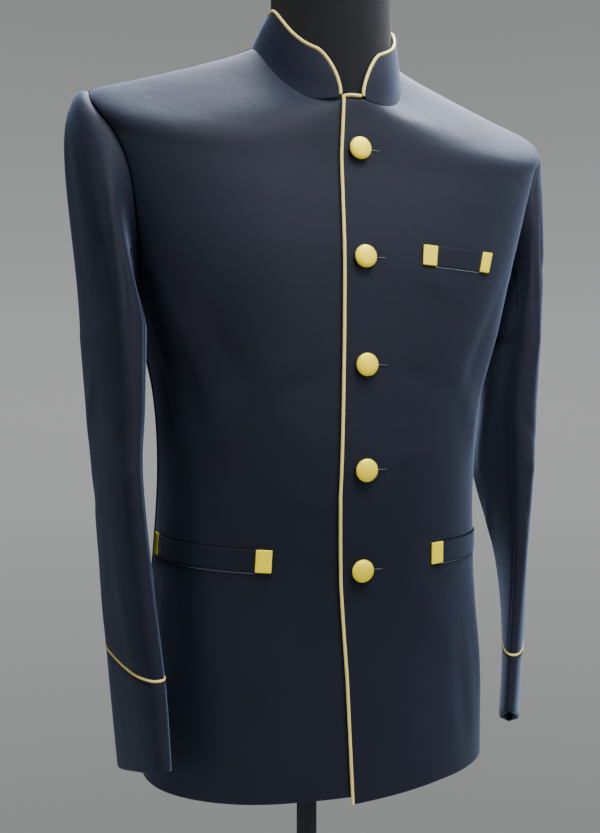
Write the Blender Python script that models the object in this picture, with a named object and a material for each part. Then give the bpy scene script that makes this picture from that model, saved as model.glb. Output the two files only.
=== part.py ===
import math

import bmesh
import bpy
import numpy as np
from mathutils import Vector

# Jodhpuri service coat worn by a limbless dress form on a pole and a round base.
# Metres, +Z up, the coat faces -Y and the wearer's right is -X. The origin is the
# middle of the base's underside, on the pole's axis.

for old in list(bpy.data.objects):
    bpy.data.objects.remove(old)

HEM_Z = 0.800  # the front hem above the floor
BACK_Y = -0.050  # the shoulder line stands this far in front of the pole
CLOTH = 0.0018  # suiting, canvas and lining pressed together
SEAM = 0.00016  # half of the gap between two joined panels
HOLE_GAP = 0.0005  # from the armhole's edge to the sleeve set into it
LAP_DROP = 0.0030  # how far the under front lies behind the lapping one
CORD_R = 0.0016

# Rings of the body from the hem to the neckline: height at the side, at the front
# and at the back, half width, y of the side, of the front and of the back, and how
# square the ring is. Heights are above the hem, y from the shoulder line.
RINGS = (
    # side, front, back, half width, y side, y front, y back, squareness
    (0.000, 0.000, 0.000, 0.1820, 0.0255, -0.0985, 0.1495, 2.20),
    (0.100, 0.100, 0.100, 0.1790, 0.0240, -0.0985, 0.1460, 2.20),
    (0.200, 0.200, 0.200, 0.1710, 0.0220, -0.1005, 0.1390, 2.25),
    (0.300, 0.300, 0.300, 0.1655, 0.0180, -0.1105, 0.1330, 2.30),
    (0.380, 0.380, 0.380, 0.1700, 0.0140, -0.1120, 0.1350, 2.45),
    (0.450, 0.445, 0.450, 0.1850, 0.0120, -0.1110, 0.1400, 2.80),
    (0.530, 0.505, 0.525, 0.2040, 0.0100, -0.1085, 0.1410, 3.00),
    (0.600, 0.555, 0.585, 0.2220, 0.0050, -0.1025, 0.1350, 3.00),
    (0.645, 0.587, 0.630, 0.2350, 0.0020, -0.0980, 0.1240, 2.90),
    (0.664, 0.607, 0.660, 0.2385, 0.0000, -0.0960, 0.1120, 2.80),
    (0.682, 0.624, 0.688, 0.1900, 0.0000, -0.0950, 0.0930, 2.50),
    (0.700, 0.638, 0.711, 0.1400, 0.0000, -0.0940, 0.0730, 2.30),
    (0.716, 0.648, 0.727, 0.0990, 0.0000, -0.0935, 0.0560, 2.10),
    (0.727, 0.656, 0.738, 0.0766, 0.0000, -0.0930, 0.0460, 1.90),
)
TOP = len(RINGS) - 1
SHOULDER = 9.0  # the ring through the shoulder points
ARMPIT = 4.85
SIDE_SEAM = math.radians(103)
HOLE_FRONT = math.radians(38)  # how far the armhole reaches before and behind the side
HOLE_BACK = math.radians(30)

# The lapping front's corded edge, x by height above the hem.
EDGE_Z = (0.0, 0.11, 0.20, 0.28, 0.44, 0.60, 0.656)
EDGE_X = (-0.0050, -0.0108, -0.0178, -0.0216, -0.0186, -0.0157, -0.0116)
UNDER_X = 0.022  # the under front's edge, hidden

# Sleeve rings below the head: height, x and y of the middle, half width front to
# back, half thickness, turn of the front edge toward the body in degrees, and how
# far the front of the ring rises above its middle.
RIGHT_SLEEVE = (
    # z, x, y, half width, half thickness, turn, rise
    (0.435, -0.2155, 0.0080, 0.0840, 0.0235, 5.0, 0.000),
    (0.365, -0.2138, 0.0045, 0.0820, 0.0193, 5.0, 0.000),
    (0.300, -0.2124, 0.0000, 0.0800, 0.0160, 3.8, 0.002),
    (0.200, -0.2051, -0.0120, 0.0740, 0.0150, 5.8, 0.005),
    (0.110, -0.1978, -0.0260, 0.0690, 0.0140, 8.5, 0.010),
    (0.030, -0.1930, -0.0400, 0.0660, 0.0130, 7.7, 0.020),
)
LEFT_SLEEVE = (
    (0.435, 0.2265, 0.0060, 0.0800, 0.0220, 16.0, 0.000),
    (0.375, 0.2235, 0.0090, 0.0840, 0.0240, 18.0, 0.000),
    (0.300, 0.2158, 0.0065, 0.0850, 0.0210, 14.5, 0.002),
    (0.200, 0.2165, -0.0110, 0.0735, 0.0130, 24.0, 0.006),
    (0.110, 0.2098, -0.0260, 0.0680, 0.0108, 31.0, 0.014),
    (0.036, 0.1970, -0.0400, 0.0660, 0.0105, 32.0, 0.026),
)
HEAD_REACH = {-1: 0.029, 1: -0.006}  # how full the sleeve's head stands out
HEAD_ROWS = 6
ARM_ROWS = 9
HOLE_STEPS = 24
FRONT_SEAM = 8  # steps of the armhole at which the sleeve's two seams start
BACK_SEAM = 17
CUFF_ROWS = 3
CUFF_CORD_R = 0.0013
CUFF_SEAM_Z = {-1: 0.128, 1: 0.118}  # the right sleeve hangs a little shorter from its seam

# Collar: its ends on the neckline, how tall it stands and how round its corners are.
COLLAR_FROM = math.asin(0.0088 / 0.0766)  # the left end
COLLAR_TO = 2 * math.pi - math.asin(0.0187 / 0.0766)  # the right end, round the back
COLLAR_TALL = 0.0405
COLLAR_CORNER = 0.027
COLLAR_CLOTH = 0.0022
COLLAR_LIFT = 0.0013
COLLAR_HALF = 0.0653  # half width of its top
COLLAR_Y = -0.0230  # and the middle of its top, from the shoulder line

BUTTON_Z = (0.607, 0.504, 0.404, 0.307, 0.213)
# Radius and height of a button's turned shape: shank, back, rim and dome.
BUTTON = (
    (0.0028, 0.0000),
    (0.0028, 0.0016),
    (0.0096, 0.0018),
    (0.0108, 0.0030),
    (0.0107, 0.0042),
    (0.0097, 0.0046),
    (0.0088, 0.0044),
    (0.0068, 0.0058),
    (0.0036, 0.0066),
    (0.0008, 0.0069),
)

# Pockets: side, the angles of a welt's two ends in degrees, its lower and upper ring
# at the first end, and how far it climbs toward the second. Each end has a gold tab.
POCKETS = {
    "chest": (1, 16.6, 38.2, 5.91, 6.26, -0.075),
    "lower_right": (-1, 28.8, 91.0, 2.13, 2.335, 0.07),
    "lower_left": (1, 26.2, 88.0, 2.13, 2.335, 0.06),
}
TAB_WIDE = 0.0150
WELT_LIFT = 0.0006
WELT_THICK = 0.0014
TAB_THICK = 0.0020

# Dress form: how far it stays inside the cloth, and the rings of its neck.
FORM_RINGS = (
    # ring of the body, gap to the cloth, gap along the shoulder's ridge
    (1.2, 0.0095, 0.0095),
    (2.0, 0.0095, 0.0095),
    (3.0, 0.0095, 0.0095),
    (4.0, 0.0095, 0.0095),
    (5.0, 0.0095, 0.0095),
    (6.0, 0.0095, 0.0095),
    (7.0, 0.0095, 0.0095),
    (8.0, 0.0095, 0.0095),
    (8.6, 0.0095, 0.0085),
    (9.2, 0.0095, 0.0060),
    (10.0, 0.0090, 0.0020),
    (10.8, 0.0085, 0.0020),
    (11.6, 0.0080, 0.0022),
    (12.3, 0.0075, 0.0045),
    (13.0, 0.0065, 0.0065),
)
NECK = (
    # side, front, back height, half width, y front, y back
    (0.745, 0.692, 0.752, 0.0618, -0.0820, 0.0385),
    (0.772, 0.760, 0.774, 0.0608, -0.0822, 0.0375),
    (0.812, 0.812, 0.812, 0.0606, -0.0822, 0.0372),
    (0.822, 0.822, 0.822, 0.0540, -0.0760, 0.0305),
    (0.827, 0.827, 0.827, 0.0320, -0.0540, 0.0085),
)
POLE_R = 0.0108
BASE = (
    (0.186, 0.000),
    (0.190, 0.002),
    (0.190, 0.008),
    (0.182, 0.014),
    (0.040, 0.026),
    (0.024, 0.034),
)
BASE_SEGMENTS = 36


def spline(rows, at):
    """Values of the table at the row number at, on a smooth curve through the rows."""
    table = np.array(rows, float)
    last = len(table) - 1
    at = np.clip(np.asarray(at, float), 0, last)
    low = np.clip(np.floor(at).astype(int), 0, last - 1)
    part = (at - low)[..., None]
    before = table[np.clip(low - 1, 0, last)]
    start = table[low]
    end = table[low + 1]
    after = table[np.clip(low + 2, 0, last)]
    leave = (end - before) / 2
    arrive = (after - start) / 2
    return (
        start * (2 * part**3 - 3 * part**2 + 1)
        + leave * (part**3 - 2 * part**2 + part)
        + end * (3 * part**2 - 2 * part**3)
        + arrive * (part**3 - part**2)
    )


def body(angle, ring):
    """Outer face of the worn cloth: angle 0 at the front, a quarter turn at the left."""
    angle = np.asarray(angle, float)
    ring = np.asarray(ring, float)
    side, front, back, half, y_side, y_front, y_back, square = np.moveaxis(
        spline(RINGS, ring), -1, 0
    )
    sine = np.sin(angle)
    cosine = np.cos(angle)
    reach = (np.abs(sine) ** square + np.abs(cosine) ** square) ** (-1 / square)
    depth = np.where(cosine > 0, y_side - y_front, y_back - y_side)
    turned = np.abs((angle + np.pi) % (2 * np.pi) - np.pi) / (np.pi / 2)
    ahead = (1 + np.cos(np.pi * np.clip(turned, 0, 1) ** 1.8)) / 2
    behind = (1 + np.cos(np.pi * np.clip(2 - turned, 0, 1) ** 1.6)) / 2
    z = side + (front - side) * ahead + (back - side) * behind
    return np.stack(
        [half * reach * sine, y_side - depth * reach * cosine + BACK_Y, z + HEM_Z], -1
    )


def outward(angle, ring):
    """The body's outward normal."""
    step = 0.01
    low = np.clip(np.asarray(ring, float) - step, 0, TOP)
    high = np.clip(np.asarray(ring, float) + step, 0, TOP)
    around = body(angle + step, ring) - body(angle - step, ring)
    upward = body(angle, high) - body(angle, low)
    normal = np.cross(around, upward)
    return normal / np.linalg.norm(normal, axis=-1, keepdims=True)


def angle_shift(angle, ring, distance):
    """The turn that moves a point of the body by this distance round it."""
    pace = np.linalg.norm(body(angle + 0.01, ring) - body(angle - 0.01, ring), axis=-1) / 0.02
    return distance / pace


def ring_at(angle, z):
    """The ring number at this height on the body at one angle."""
    low, high = 0.0, float(TOP)
    for _ in range(40):
        middle = (low + high) / 2
        if body(angle, middle)[2] < z + HEM_Z:
            low = middle
        else:
            high = middle
    return (low + high) / 2


def on_front(x, z):
    """Angle and ring of the point of the front with this x and height above the hem."""
    angle = x / 0.19
    ring = 3.0
    for _ in range(30):
        ring = ring_at(angle, z)
        here = body(angle, ring)[0]
        slope = (body(angle + 0.01, ring)[0] - here) / 0.01
        angle = angle + (x - here) / slope
    return angle, ring


def armhole(step, side):
    """Angle and ring of the armhole's edge. Step 0 is the shoulder, a quarter the front."""
    share = np.asarray(step, float) / HOLE_STEPS * 2 * np.pi
    reach = np.where(np.sin(share) > 0, HOLE_FRONT, HOLE_BACK)
    bottom = SIDE_SEAM - np.pi / 2
    tilt = (1 - np.cos(share)) / 2 * bottom
    angle = np.pi / 2 + tilt - reach * np.sign(np.sin(share)) * np.abs(np.sin(share)) ** 1.05
    middle = (SHOULDER + ARMPIT) / 2
    ring = middle + (SHOULDER - ARMPIT) / 2 * np.cos(share)
    return side * angle, ring


def coons(left, right, bottom, top, shares):
    """The (angle, ring) grid between four edges. Left and right run upward.

    The top edge acts only near the top, so that the cells beside the armhole stay open.
    """
    u = np.asarray(shares)[:, None, None]
    v = np.linspace(0, 1, len(left))[None, :, None]
    lift = v**8
    return (
        (1 - u) * left[None]
        + u * right[None]
        + (1 - lift) * bottom[:, None]
        + lift * top[:, None]
        - (1 - u) * (1 - lift) * left[0]
        - u * (1 - lift) * right[0]
        - (1 - u) * lift * left[-1]
        - u * lift * right[-1]
    )


def place(bm, name, material):
    """Makes the object of a bmesh, with its faces turned out and its own material."""
    bmesh.ops.recalc_face_normals(bm, faces=bm.faces)
    if bm.calc_volume(signed=True) < 0:
        bmesh.ops.reverse_faces(bm, faces=bm.faces)
    mesh = bpy.data.meshes.new(name)
    bm.to_mesh(mesh)
    bm.free()
    made = bpy.data.objects.new(name, mesh)
    bpy.context.collection.objects.link(made)
    made.data.materials.append(material)
    return made


def sheet(name, outer, inner, material, closed=False):
    """A wall of cloth between two grids of points. A closed one joins its ends."""
    outer = np.asarray(outer)
    inner = np.asarray(inner)
    columns, rows = outer.shape[:2]
    bm = bmesh.new()
    faces = []
    sides = []
    for points in (outer, inner):
        sides.append([[bm.verts.new(p) for p in column] for column in points])
    wrap = columns if closed else columns - 1
    for i in range(wrap):
        after = (i + 1) % columns
        for j in range(rows - 1):
            for side in sides:
                faces.append(
                    (side[i][j], side[after][j], side[after][j + 1], side[i][j + 1])
                )
        for j in (0, rows - 1):
            faces.append((sides[0][i][j], sides[0][after][j], sides[1][after][j], sides[1][i][j]))
    if not closed:
        for i in (0, columns - 1):
            for j in range(rows - 1):
                faces.append((sides[0][i][j], sides[0][i][j + 1], sides[1][i][j + 1], sides[1][i][j]))
    for corners in faces:
        bm.faces.new(corners)
    return place(bm, name, material)


def lathe(name, profile, segments, material, move):
    """A solid turned about Z from (radius, height) pairs, then moved by a function."""
    bm = bmesh.new()
    radius, height = profile[0]
    bmesh.ops.create_circle(bm, cap_ends=True, segments=segments, radius=radius)
    bmesh.ops.translate(bm, vec=(0, 0, height), verts=bm.verts)
    face = bm.faces[:]
    for number, (radius, height) in enumerate(profile[1:]):
        made = bmesh.ops.extrude_face_region(bm, geom=face)["geom"]
        if number > 0:
            bmesh.ops.delete(bm, geom=face, context="FACES_ONLY")
        face = [item for item in made if isinstance(item, bmesh.types.BMFace)]
        for vert in face[0].verts:
            flat = Vector((vert.co.x, vert.co.y)).normalized() * radius
            vert.co = (flat.x, flat.y, height)
    for vert in bm.verts:
        vert.co = move(vert.co)
    return place(bm, name, material)


def cord(name, path, radius, material, cyclic=False):
    """A round cord along a path of points, with flat ends."""
    curve = bpy.data.curves.new(name, "CURVE")
    curve.dimensions = "3D"
    curve.bevel_depth = radius
    curve.bevel_resolution = 1
    curve.use_fill_caps = not cyclic
    line = curve.splines.new("POLY")
    line.points.add(len(path) - 1)
    for point, at in zip(line.points, path):
        point.co = (at[0], at[1], at[2], 1)
    line.use_cyclic_u = cyclic
    made = bpy.data.objects.new(name, curve)
    bpy.context.collection.objects.link(made)
    curve.materials.append(material)
    return made


def principled(name, colour, roughness, metallic=0.0, sheen=0.0):
    """A plain material from a linear colour."""
    made = bpy.data.materials.new(name)
    made.use_nodes = True
    shader = made.node_tree.nodes["Principled BSDF"]
    shader.inputs["Base Color"].default_value = (*colour, 1)
    shader.inputs["Roughness"].default_value = roughness
    shader.inputs["Metallic"].default_value = metallic
    shader.inputs["Sheen Weight"].default_value = sheen
    made.diffuse_color = (*colour, 1)
    return made


suiting = principled("midnight_suiting", (0.014, 0.017, 0.028), 0.75, sheen=0.3)
piping = principled("pale_gold_piping", (0.58, 0.48, 0.24), 0.5)
gold_cloth = principled("gold_tab_cloth", (0.66, 0.52, 0.12), 0.55)
button_metal = principled("gold_buttons", (0.75, 0.55, 0.16), 0.35, metallic=0.8)
form_cloth = principled("black_form_jersey", (0.012, 0.012, 0.014), 0.8)
stand_steel = principled("black_stand_steel", (0.02, 0.02, 0.022), 0.35, metallic=0.6)

# Body panels: each front and back half is a wall of cloth over the body's ring
# surface, cut by the front edge, the hem, the side seam, the armhole, the shoulder
# seam and the neckline.
SIDE_ROWS = 10
HOLE_ROWS = HOLE_STEPS // 2
SHOULDER_COLUMNS = 4
NECK_COLUMNS = {"front": 7, "back": 5}
# The under front's columns, close together where it slips behind the lapping one.
UNDER_SHARES = (0.0, 0.11, 0.22, 0.29, 0.37, 0.46, 0.55, 0.64, 0.73, 0.82, 0.91, 1.0)
UNDER_DROPS = (1.0, 1.0, 1.0, 0.45, 0.0)  # share of the drop at its first columns


def middle_edge(which):
    """Angles and rings of a panel's edge at the front or at the centre back."""
    low = np.linspace(0, ARMPIT, SIDE_ROWS + 1)
    high = np.linspace(ARMPIT, TOP, HOLE_ROWS + 1)[1:]
    rings = np.concatenate([low, high])
    if which == "back":
        return np.stack([np.full(len(rings), np.pi), rings], -1)
    heights = body(0.0, rings)[:, 2] - HEM_Z
    edge = np.interp(heights, EDGE_Z, EDGE_X) if which == "lap" else np.full(len(rings), UNDER_X)
    half = spline(RINGS, rings)[:, 3]
    return np.stack([np.arcsin(edge / half), rings], -1)


def panel_grid(part, side):
    """The (angle, ring) grid of a front or a back on one side, side 1 being the left."""
    back = part == "back"
    inner = middle_edge("back" if back else "lap" if side > 0 else "under")
    if back:
        inner[:, 0] = np.pi - angle_shift(inner[:, 0], inner[:, 1], SEAM)
    elif side < 0:
        inner[:, 0] *= -1
    seam = np.stack([np.full(SIDE_ROWS + 1, SIDE_SEAM), np.linspace(0, ARMPIT, SIDE_ROWS + 1)], -1)
    steps = np.arange(HOLE_STEPS / 2, -0.5, -1) if not back else np.arange(HOLE_STEPS / 2, HOLE_STEPS + 0.5)
    hole = np.stack(armhole(steps, 1), -1)
    outer = np.concatenate([seam, hole[1:]])
    ridge_rings = np.linspace(TOP, SHOULDER, SHOULDER_COLUMNS + 1)
    ridge = np.stack([np.full(len(ridge_rings), np.pi / 2), ridge_rings], -1)
    columns = NECK_COLUMNS["back" if back else "front"]
    under = part == "front" and side < 0
    shares = np.array(UNDER_SHARES) if under else np.linspace(0, 1, columns + SHOULDER_COLUMNS + 1)
    along = shares[: columns + 1] / shares[columns]
    neck = np.stack(
        [inner[-1, 0] * (1 - along) + np.pi / 2 * along, np.full(columns + 1, TOP)], -1
    )
    turn = 1 if back else -1
    for edge in (seam, ridge):
        edge[:, 0] += turn * angle_shift(edge[:, 0], edge[:, 1], SEAM)
    outer[: SIDE_ROWS + 1] = seam
    outer[-1] = ridge[-1]
    neck[-1] = ridge[0]
    top = np.concatenate([neck, ridge[1:]])
    bottom = inner[0] * (1 - shares[:, None]) + outer[0] * shares[:, None]
    grid = coons(inner, outer, bottom, top, shares)
    grid[..., 0] *= side
    return grid


def panel(name, part, side):
    grid = panel_grid(part, side)
    angle, ring = grid[..., 0], grid[..., 1]
    points = body(angle, ring)
    normal = outward(angle, ring)
    if part == "front":
        shape_front(points, normal, side)
    inner = points - CLOTH * normal
    return sheet(name, points, inner, suiting)


def shape_front(points, normal, side):
    """Sets the under front back behind the lapping one, which hangs a little lower."""
    if side < 0:
        for column, share in enumerate(UNDER_DROPS):
            points[column] -= LAP_DROP * share * normal[column]
        return
    low = np.clip(1 - (points[..., 2] - HEM_Z) / 0.10, 0, 1) ** 2
    near = np.clip(1 - np.abs(points[..., 0] + 0.007) / 0.10, 0, 1)
    points[..., 2] -= 0.006 * low * near


panel("left_front", "front", 1)
panel("right_front", "front", -1)
panel("back_left", "back", 1)
panel("back_right", "back", -1)

# Sleeves: two long pieces each, the top sleeve over the outer face and the under
# sleeve against the body, both sewn into the armhole. They hang empty and flat.


def sleeve_ring(side, step, row, inset):
    """A point of the hanging sleeve, by step round it and row of its table."""
    rows = RIGHT_SLEEVE if side < 0 else LEFT_SLEEVE
    z, x, y, half, thick, turn, rise = np.moveaxis(spline(rows, row), -1, 0)
    share = np.asarray(step, float) / HOLE_STEPS * 2 * np.pi
    reach = (np.abs(np.sin(share)) ** 2.5 + np.abs(np.cos(share)) ** 2.5) ** (-1 / 2.5)
    across = (thick - inset) * reach * np.cos(share)
    ahead = (half - inset) * reach * np.sin(share)
    turn = np.radians(turn)
    return np.stack(
        [
            x + side * (across * np.cos(turn) - ahead * np.sin(turn)),
            y - across * np.sin(turn) - ahead * np.cos(turn) + BACK_Y,
            z + rise * np.sin(share) + HEM_Z,
        ],
        -1,
    )


HOLE_MIDDLE = {
    side: body(*armhole(np.arange(HOLE_STEPS), side)).mean(axis=0) for side in (-1, 1)
}


def sleeve(side, step, down, inset=0.0):
    """A point of the whole sleeve: down is 0 at the armhole, 1 below the head, 6 at the hem."""
    step, down = np.broadcast_arrays(np.asarray(step, float), np.asarray(down, float))
    hem_side = sleeve_ring(side, step, np.clip(down - 1, 0, 5), inset)
    angle, ring = armhole(step, side)
    edge = body(angle, ring) + 0.0002 * outward(angle, ring)
    inward = HOLE_MIDDLE[side] - edge
    inward /= np.linalg.norm(inward, axis=-1, keepdims=True)
    edge = edge + (HOLE_GAP + inset) * inward
    arrive = sleeve_ring(side, step, np.zeros_like(step), inset)
    share = step / HOLE_STEPS * 2 * np.pi
    up = np.cos(share)
    leave = np.stack(
        [
            side * np.ones_like(up),
            -0.30 * np.sin(share),
            0.25 * np.clip(up, 0, 1) - 0.10 * np.clip(up, -1, 0),
        ],
        -1,
    )
    leave /= np.linalg.norm(leave, axis=-1, keepdims=True)
    first = edge + leave * (0.014 + HEAD_REACH[side] * (1 + up) / 2)[..., None]
    climb = np.clip(0.38 * (edge - arrive)[..., 2], 0.002, 1)
    second = arrive + np.stack([0 * climb, 0 * climb, climb], -1)
    q = np.clip(down, 0, 1)[..., None]
    head = (
        edge * (1 - q) ** 3
        + first * 3 * q * (1 - q) ** 2
        + second * 3 * q**2 * (1 - q)
        + arrive * q**3
    )
    return np.where(down[..., None] < 1, head, hem_side)


def cuff_seam(side, step):
    """How far down the sleeve the cuff's seam runs: highest at the sleeve's two edges."""
    share = step / HOLE_STEPS * 2 * math.pi
    height = CUFF_SEAM_Z[side] - 0.003 * math.cos(2 * share) + HEM_Z
    low, high = 1.5, 6.0
    for _ in range(40):
        middle = (low + high) / 2
        if sleeve(side, step, middle)[2] > height:
            low = middle
        else:
            high = middle
    return low


def sleeve_length(side, step, down, distance):
    """The row that lies this far down the sleeve from another row."""
    pace = np.linalg.norm(sleeve(side, step, down + 0.02) - sleeve(side, step, down - 0.02)) / 0.04
    return down + distance / pace


def sleeve_piece(name, side, first, last):
    """One long piece of a sleeve between two seams."""
    columns = []
    for step in range(first, last + 1):
        pace = np.linalg.norm(sleeve(side, step + 0.01, 3.0) - sleeve(side, step - 0.01, 3.0)) / 0.02
        at = step + SEAM / pace * ((step == first) - (step == last))
        end = sleeve_length(side, at, cuff_seam(side, at), -CUFF_CORD_R - 0.0004)
        low = np.linspace(1, end, ARM_ROWS + 1)[1:]
        rows = np.concatenate([np.linspace(0, 1, HEAD_ROWS + 1), low])
        columns.append([sleeve(side, at, rows, inset) for inset in (0.0, CLOTH)])
    return sheet(name, [c[0] for c in columns], [c[1] for c in columns], suiting)


def cuff(name, side):
    """The cuff's tube from its corded seam down to its hem."""
    columns = []
    for step in range(HOLE_STEPS):
        start = sleeve_length(side, step, cuff_seam(side, step), CUFF_CORD_R + 0.0004)
        rows = np.linspace(start, 6.0, CUFF_ROWS + 1)
        columns.append([sleeve(side, step, rows, inset) for inset in (0.0, CLOTH)])
    return sheet(name, [c[0] for c in columns], [c[1] for c in columns], suiting, closed=True)


for side, word in ((-1, "right"), (1, "left")):
    sleeve_piece("sleeve_top_" + word, side, BACK_SEAM - HOLE_STEPS, FRONT_SEAM)
    sleeve_piece("sleeve_under_" + word, side, FRONT_SEAM, BACK_SEAM)
    cuff("cuff_" + word, side)
    steps = np.arange(HOLE_STEPS)
    cord(
        "cuff_cord_" + word,
        [sleeve(side, step, cuff_seam(side, step), 0.4 * CLOTH) for step in steps],
        CUFF_CORD_R,
        piping,
        cyclic=True,
    )

# Stand collar: a band along the neckline, leaning inward, with round front corners.


def collar(angle, share):
    """Outer face of the collar by angle and share of its full height."""
    base = body(angle, TOP)
    sine = np.sin(angle)
    fuller = np.where(sine > 0, 0.010, 0.004) * np.clip(np.cos(angle), 0, 1)
    tall = COLLAR_TALL + fuller * np.sin(2 * angle) ** 2 - 0.0085 * sine**6
    top = np.stack(
        [
            COLLAR_HALF * np.sin(angle),
            COLLAR_Y - COLLAR_HALF * np.cos(angle) + BACK_Y,
            base[..., 2] + tall,
        ],
        -1,
    )
    return base + (top - base) * np.asarray(share)[..., None] + np.array([0, 0, COLLAR_LIFT])


def collar_rise(angle):
    """Share of its height that the collar reaches, less at its round corners."""
    near = min(angle - COLLAR_FROM, COLLAR_TO - angle) * 0.09
    short = 1 - min((near + 0.0010) / COLLAR_CORNER, 1)
    return (1 - short**2.2) ** (1 / 2.2)


def collar_angles(middle):
    """Angles along the collar, close together at its round corners."""
    corner = COLLAR_CORNER / 0.09 * np.array([0, 0.06, 0.16, 0.32, 0.55, 0.85])
    rest = np.linspace(COLLAR_FROM + 0.30, COLLAR_TO - 0.30, middle)
    return np.concatenate([COLLAR_FROM + corner, rest, COLLAR_TO - corner[::-1]])


def collar_inward(angle, share):
    around = collar(angle + 0.01, share) - collar(angle - 0.01, share)
    upward = collar(angle, share + 0.02) - collar(angle, share - 0.02)
    normal = np.cross(upward, around)
    return normal / np.linalg.norm(normal)


outer = []
inner = []
for angle in collar_angles(22):
    shares = np.linspace(0, collar_rise(angle), 4)
    outer.append([collar(angle, share) for share in shares])
    inner.append([collar(angle, share) + COLLAR_CLOTH * collar_inward(angle, share) for share in shares])
sheet("collar", outer, inner, suiting)

# Cords: the collar's along its top and down both round corners, the front's up the
# lapping edge and along the short step of the neckline to the collar's left end.
OFF = CORD_R + 0.0004


def collar_cord():
    angles = collar_angles(22)
    edge = []
    for angle in angles:
        rise = collar_rise(angle)
        edge.append(collar(angle, rise) + 0.4 * COLLAR_CLOTH * collar_inward(angle, rise))
    edge = np.array(edge)
    path = []
    for place_in, angle in enumerate(angles):
        before = edge[max(place_in - 1, 0)]
        after = edge[min(place_in + 1, len(edge) - 1)]
        along = after - before
        if place_in in (0, len(edge) - 1):
            along = np.array([0.0, 0.0, 1.0 if place_in == 0 else -1.0])
        across = np.cross(collar_inward(angle, 0.9), along)
        path.append(edge[place_in] - OFF * across / np.linalg.norm(across))
    first, last = path[0].copy(), path[-1].copy()
    floor = body(0.0, TOP)[2] + 2 * OFF + 0.0006
    first[2] = floor
    last[2] = floor
    return [first] + path + [last]


cord("collar_cord", collar_cord(), CORD_R, piping)


def front_cord():
    edge = middle_edge("lap")
    path = []
    for angle, ring in edge:
        at = body(angle, ring)[None, None]
        shape_front(at, outward(angle, ring)[None, None], 1)
        path.append(at[0, 0] + np.array([-OFF, 0, 0]) - 0.2 * CLOTH * outward(angle, ring))
    path[-1][2] -= 0.0016
    across = np.linspace(edge[-1, 0], math.asin(0.0035 / 0.0766), 4)
    rim = [body(angle, TOP) + np.array([0, 0, OFF + 0.0004]) for angle in across]
    corner = path[-1] + np.array([0.0002, 0, 0.0028])
    return path + [corner] + rim[1:]


cord("front_cord", front_cord(), CORD_R, piping)

# Buttons: domed, with a rim and a shank, on the centre front.


def on_cloth(angle, ring, lift):
    """Moves a shape turned about Z onto the front, standing this far off the cloth."""
    at = body(angle, ring)
    normal = Vector(outward(angle, ring))
    turn = normal.to_track_quat("Z", "Y")
    return lambda co: Vector(at) + lift * normal + turn @ co


for number, z in enumerate(BUTTON_Z, 1):
    lathe("button_%d" % number, BUTTON, 16, button_metal, on_cloth(*on_front(0.0, z), 0.0004))

# Pocket welts and their gold tabs, lying on the fronts.


def patch(name, side, angles, low, high, thick, columns, rows, material):
    """A flat piece on the body between two angles. Low and high are its rings at both ends."""
    share = np.linspace(0, 1, columns + 1)[:, None]
    rise = np.linspace(0, 1, rows + 1)[None]
    angle = side * np.radians(angles[0] + (angles[1] - angles[0]) * share) + 0 * rise
    bottom = low[0] + (low[1] - low[0]) * share
    top = high[0] + (high[1] - high[0]) * share
    ring = bottom + (top - bottom) * rise
    points = body(angle, ring)
    normal = outward(angle, ring)
    lift = WELT_LIFT
    return sheet(name, points + (lift + thick) * normal, points + lift * normal, material)


for name, (side, start, end, low, high, climb) in POCKETS.items():
    middle_ring = (low + high) / 2
    first_tab = math.degrees(angle_shift(math.radians(start), middle_ring, TAB_WIDE))
    last_tab = math.degrees(angle_shift(math.radians(end), middle_ring, TAB_WIDE * 0.85))
    gap = math.degrees(angle_shift(math.radians(start), middle_ring, 0.0004))
    along = [start, start + first_tab, start + first_tab + gap, end - last_tab - gap, end - last_tab, end]

    def rings(i, j, base):
        return [base + climb * (along[k] - start) / (end - start) for k in (i, j)]

    def piece(ending, i, thick, columns, material):
        ends = rings(i, i + 1, low), rings(i, i + 1, high)
        patch(name + ending, side, along[i : i + 2], *ends, thick, columns, 1, material)

    piece("_tab_front", 0, TAB_THICK, 1, gold_cloth)
    piece("_welt", 2, WELT_THICK, 3 if name == "chest" else 12, suiting)
    piece("_tab_rear", 4, TAB_THICK, 1, gold_cloth)

# Dress form: a smooth limbless torso with a short neck, on a pole with a round base.


def loft(name, rings, material):
    """A closed solid through rings of points, with flat ends."""
    bm = bmesh.new()
    made = [[bm.verts.new(p) for p in ring] for ring in rings]
    count = len(made[0])
    for low, high in zip(made, made[1:]):
        for i in range(count):
            after = (i + 1) % count
            bm.faces.new((low[i], low[after], high[after], high[i]))
    bm.faces.new(made[0])
    bm.faces.new(made[-1])
    return place(bm, name, material)


def form_rings():
    """Rings of the form: inside the cloth up to the neckline, then its own neck."""
    angle = np.linspace(0, 2 * np.pi, 28, endpoint=False)
    ridge = np.abs(np.sin(angle)) ** 3
    rings = []
    for ring, away, near_ridge in FORM_RINGS:
        gap = CLOTH + away + (near_ridge - away) * ridge
        rings.append(body(angle, ring) - gap[:, None] * outward(angle, ring))
    low = rings[0] * [0.86, 0.86, 0] + [0, -0.004, rings[0][:, 2].min() - 0.012]
    for side, front, back, half, y_front, y_back in NECK:
        share = np.cos(angle) ** 2
        height = side + np.where(np.cos(angle) > 0, front - side, back - side) * share
        middle = (y_front + y_back) / 2
        depth = (y_back - y_front) / 2
        around = [half * np.sin(angle), middle - depth * np.cos(angle) + BACK_Y, height + HEM_Z]
        rings.append(np.stack(around, -1))
    return [low] + rings


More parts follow.
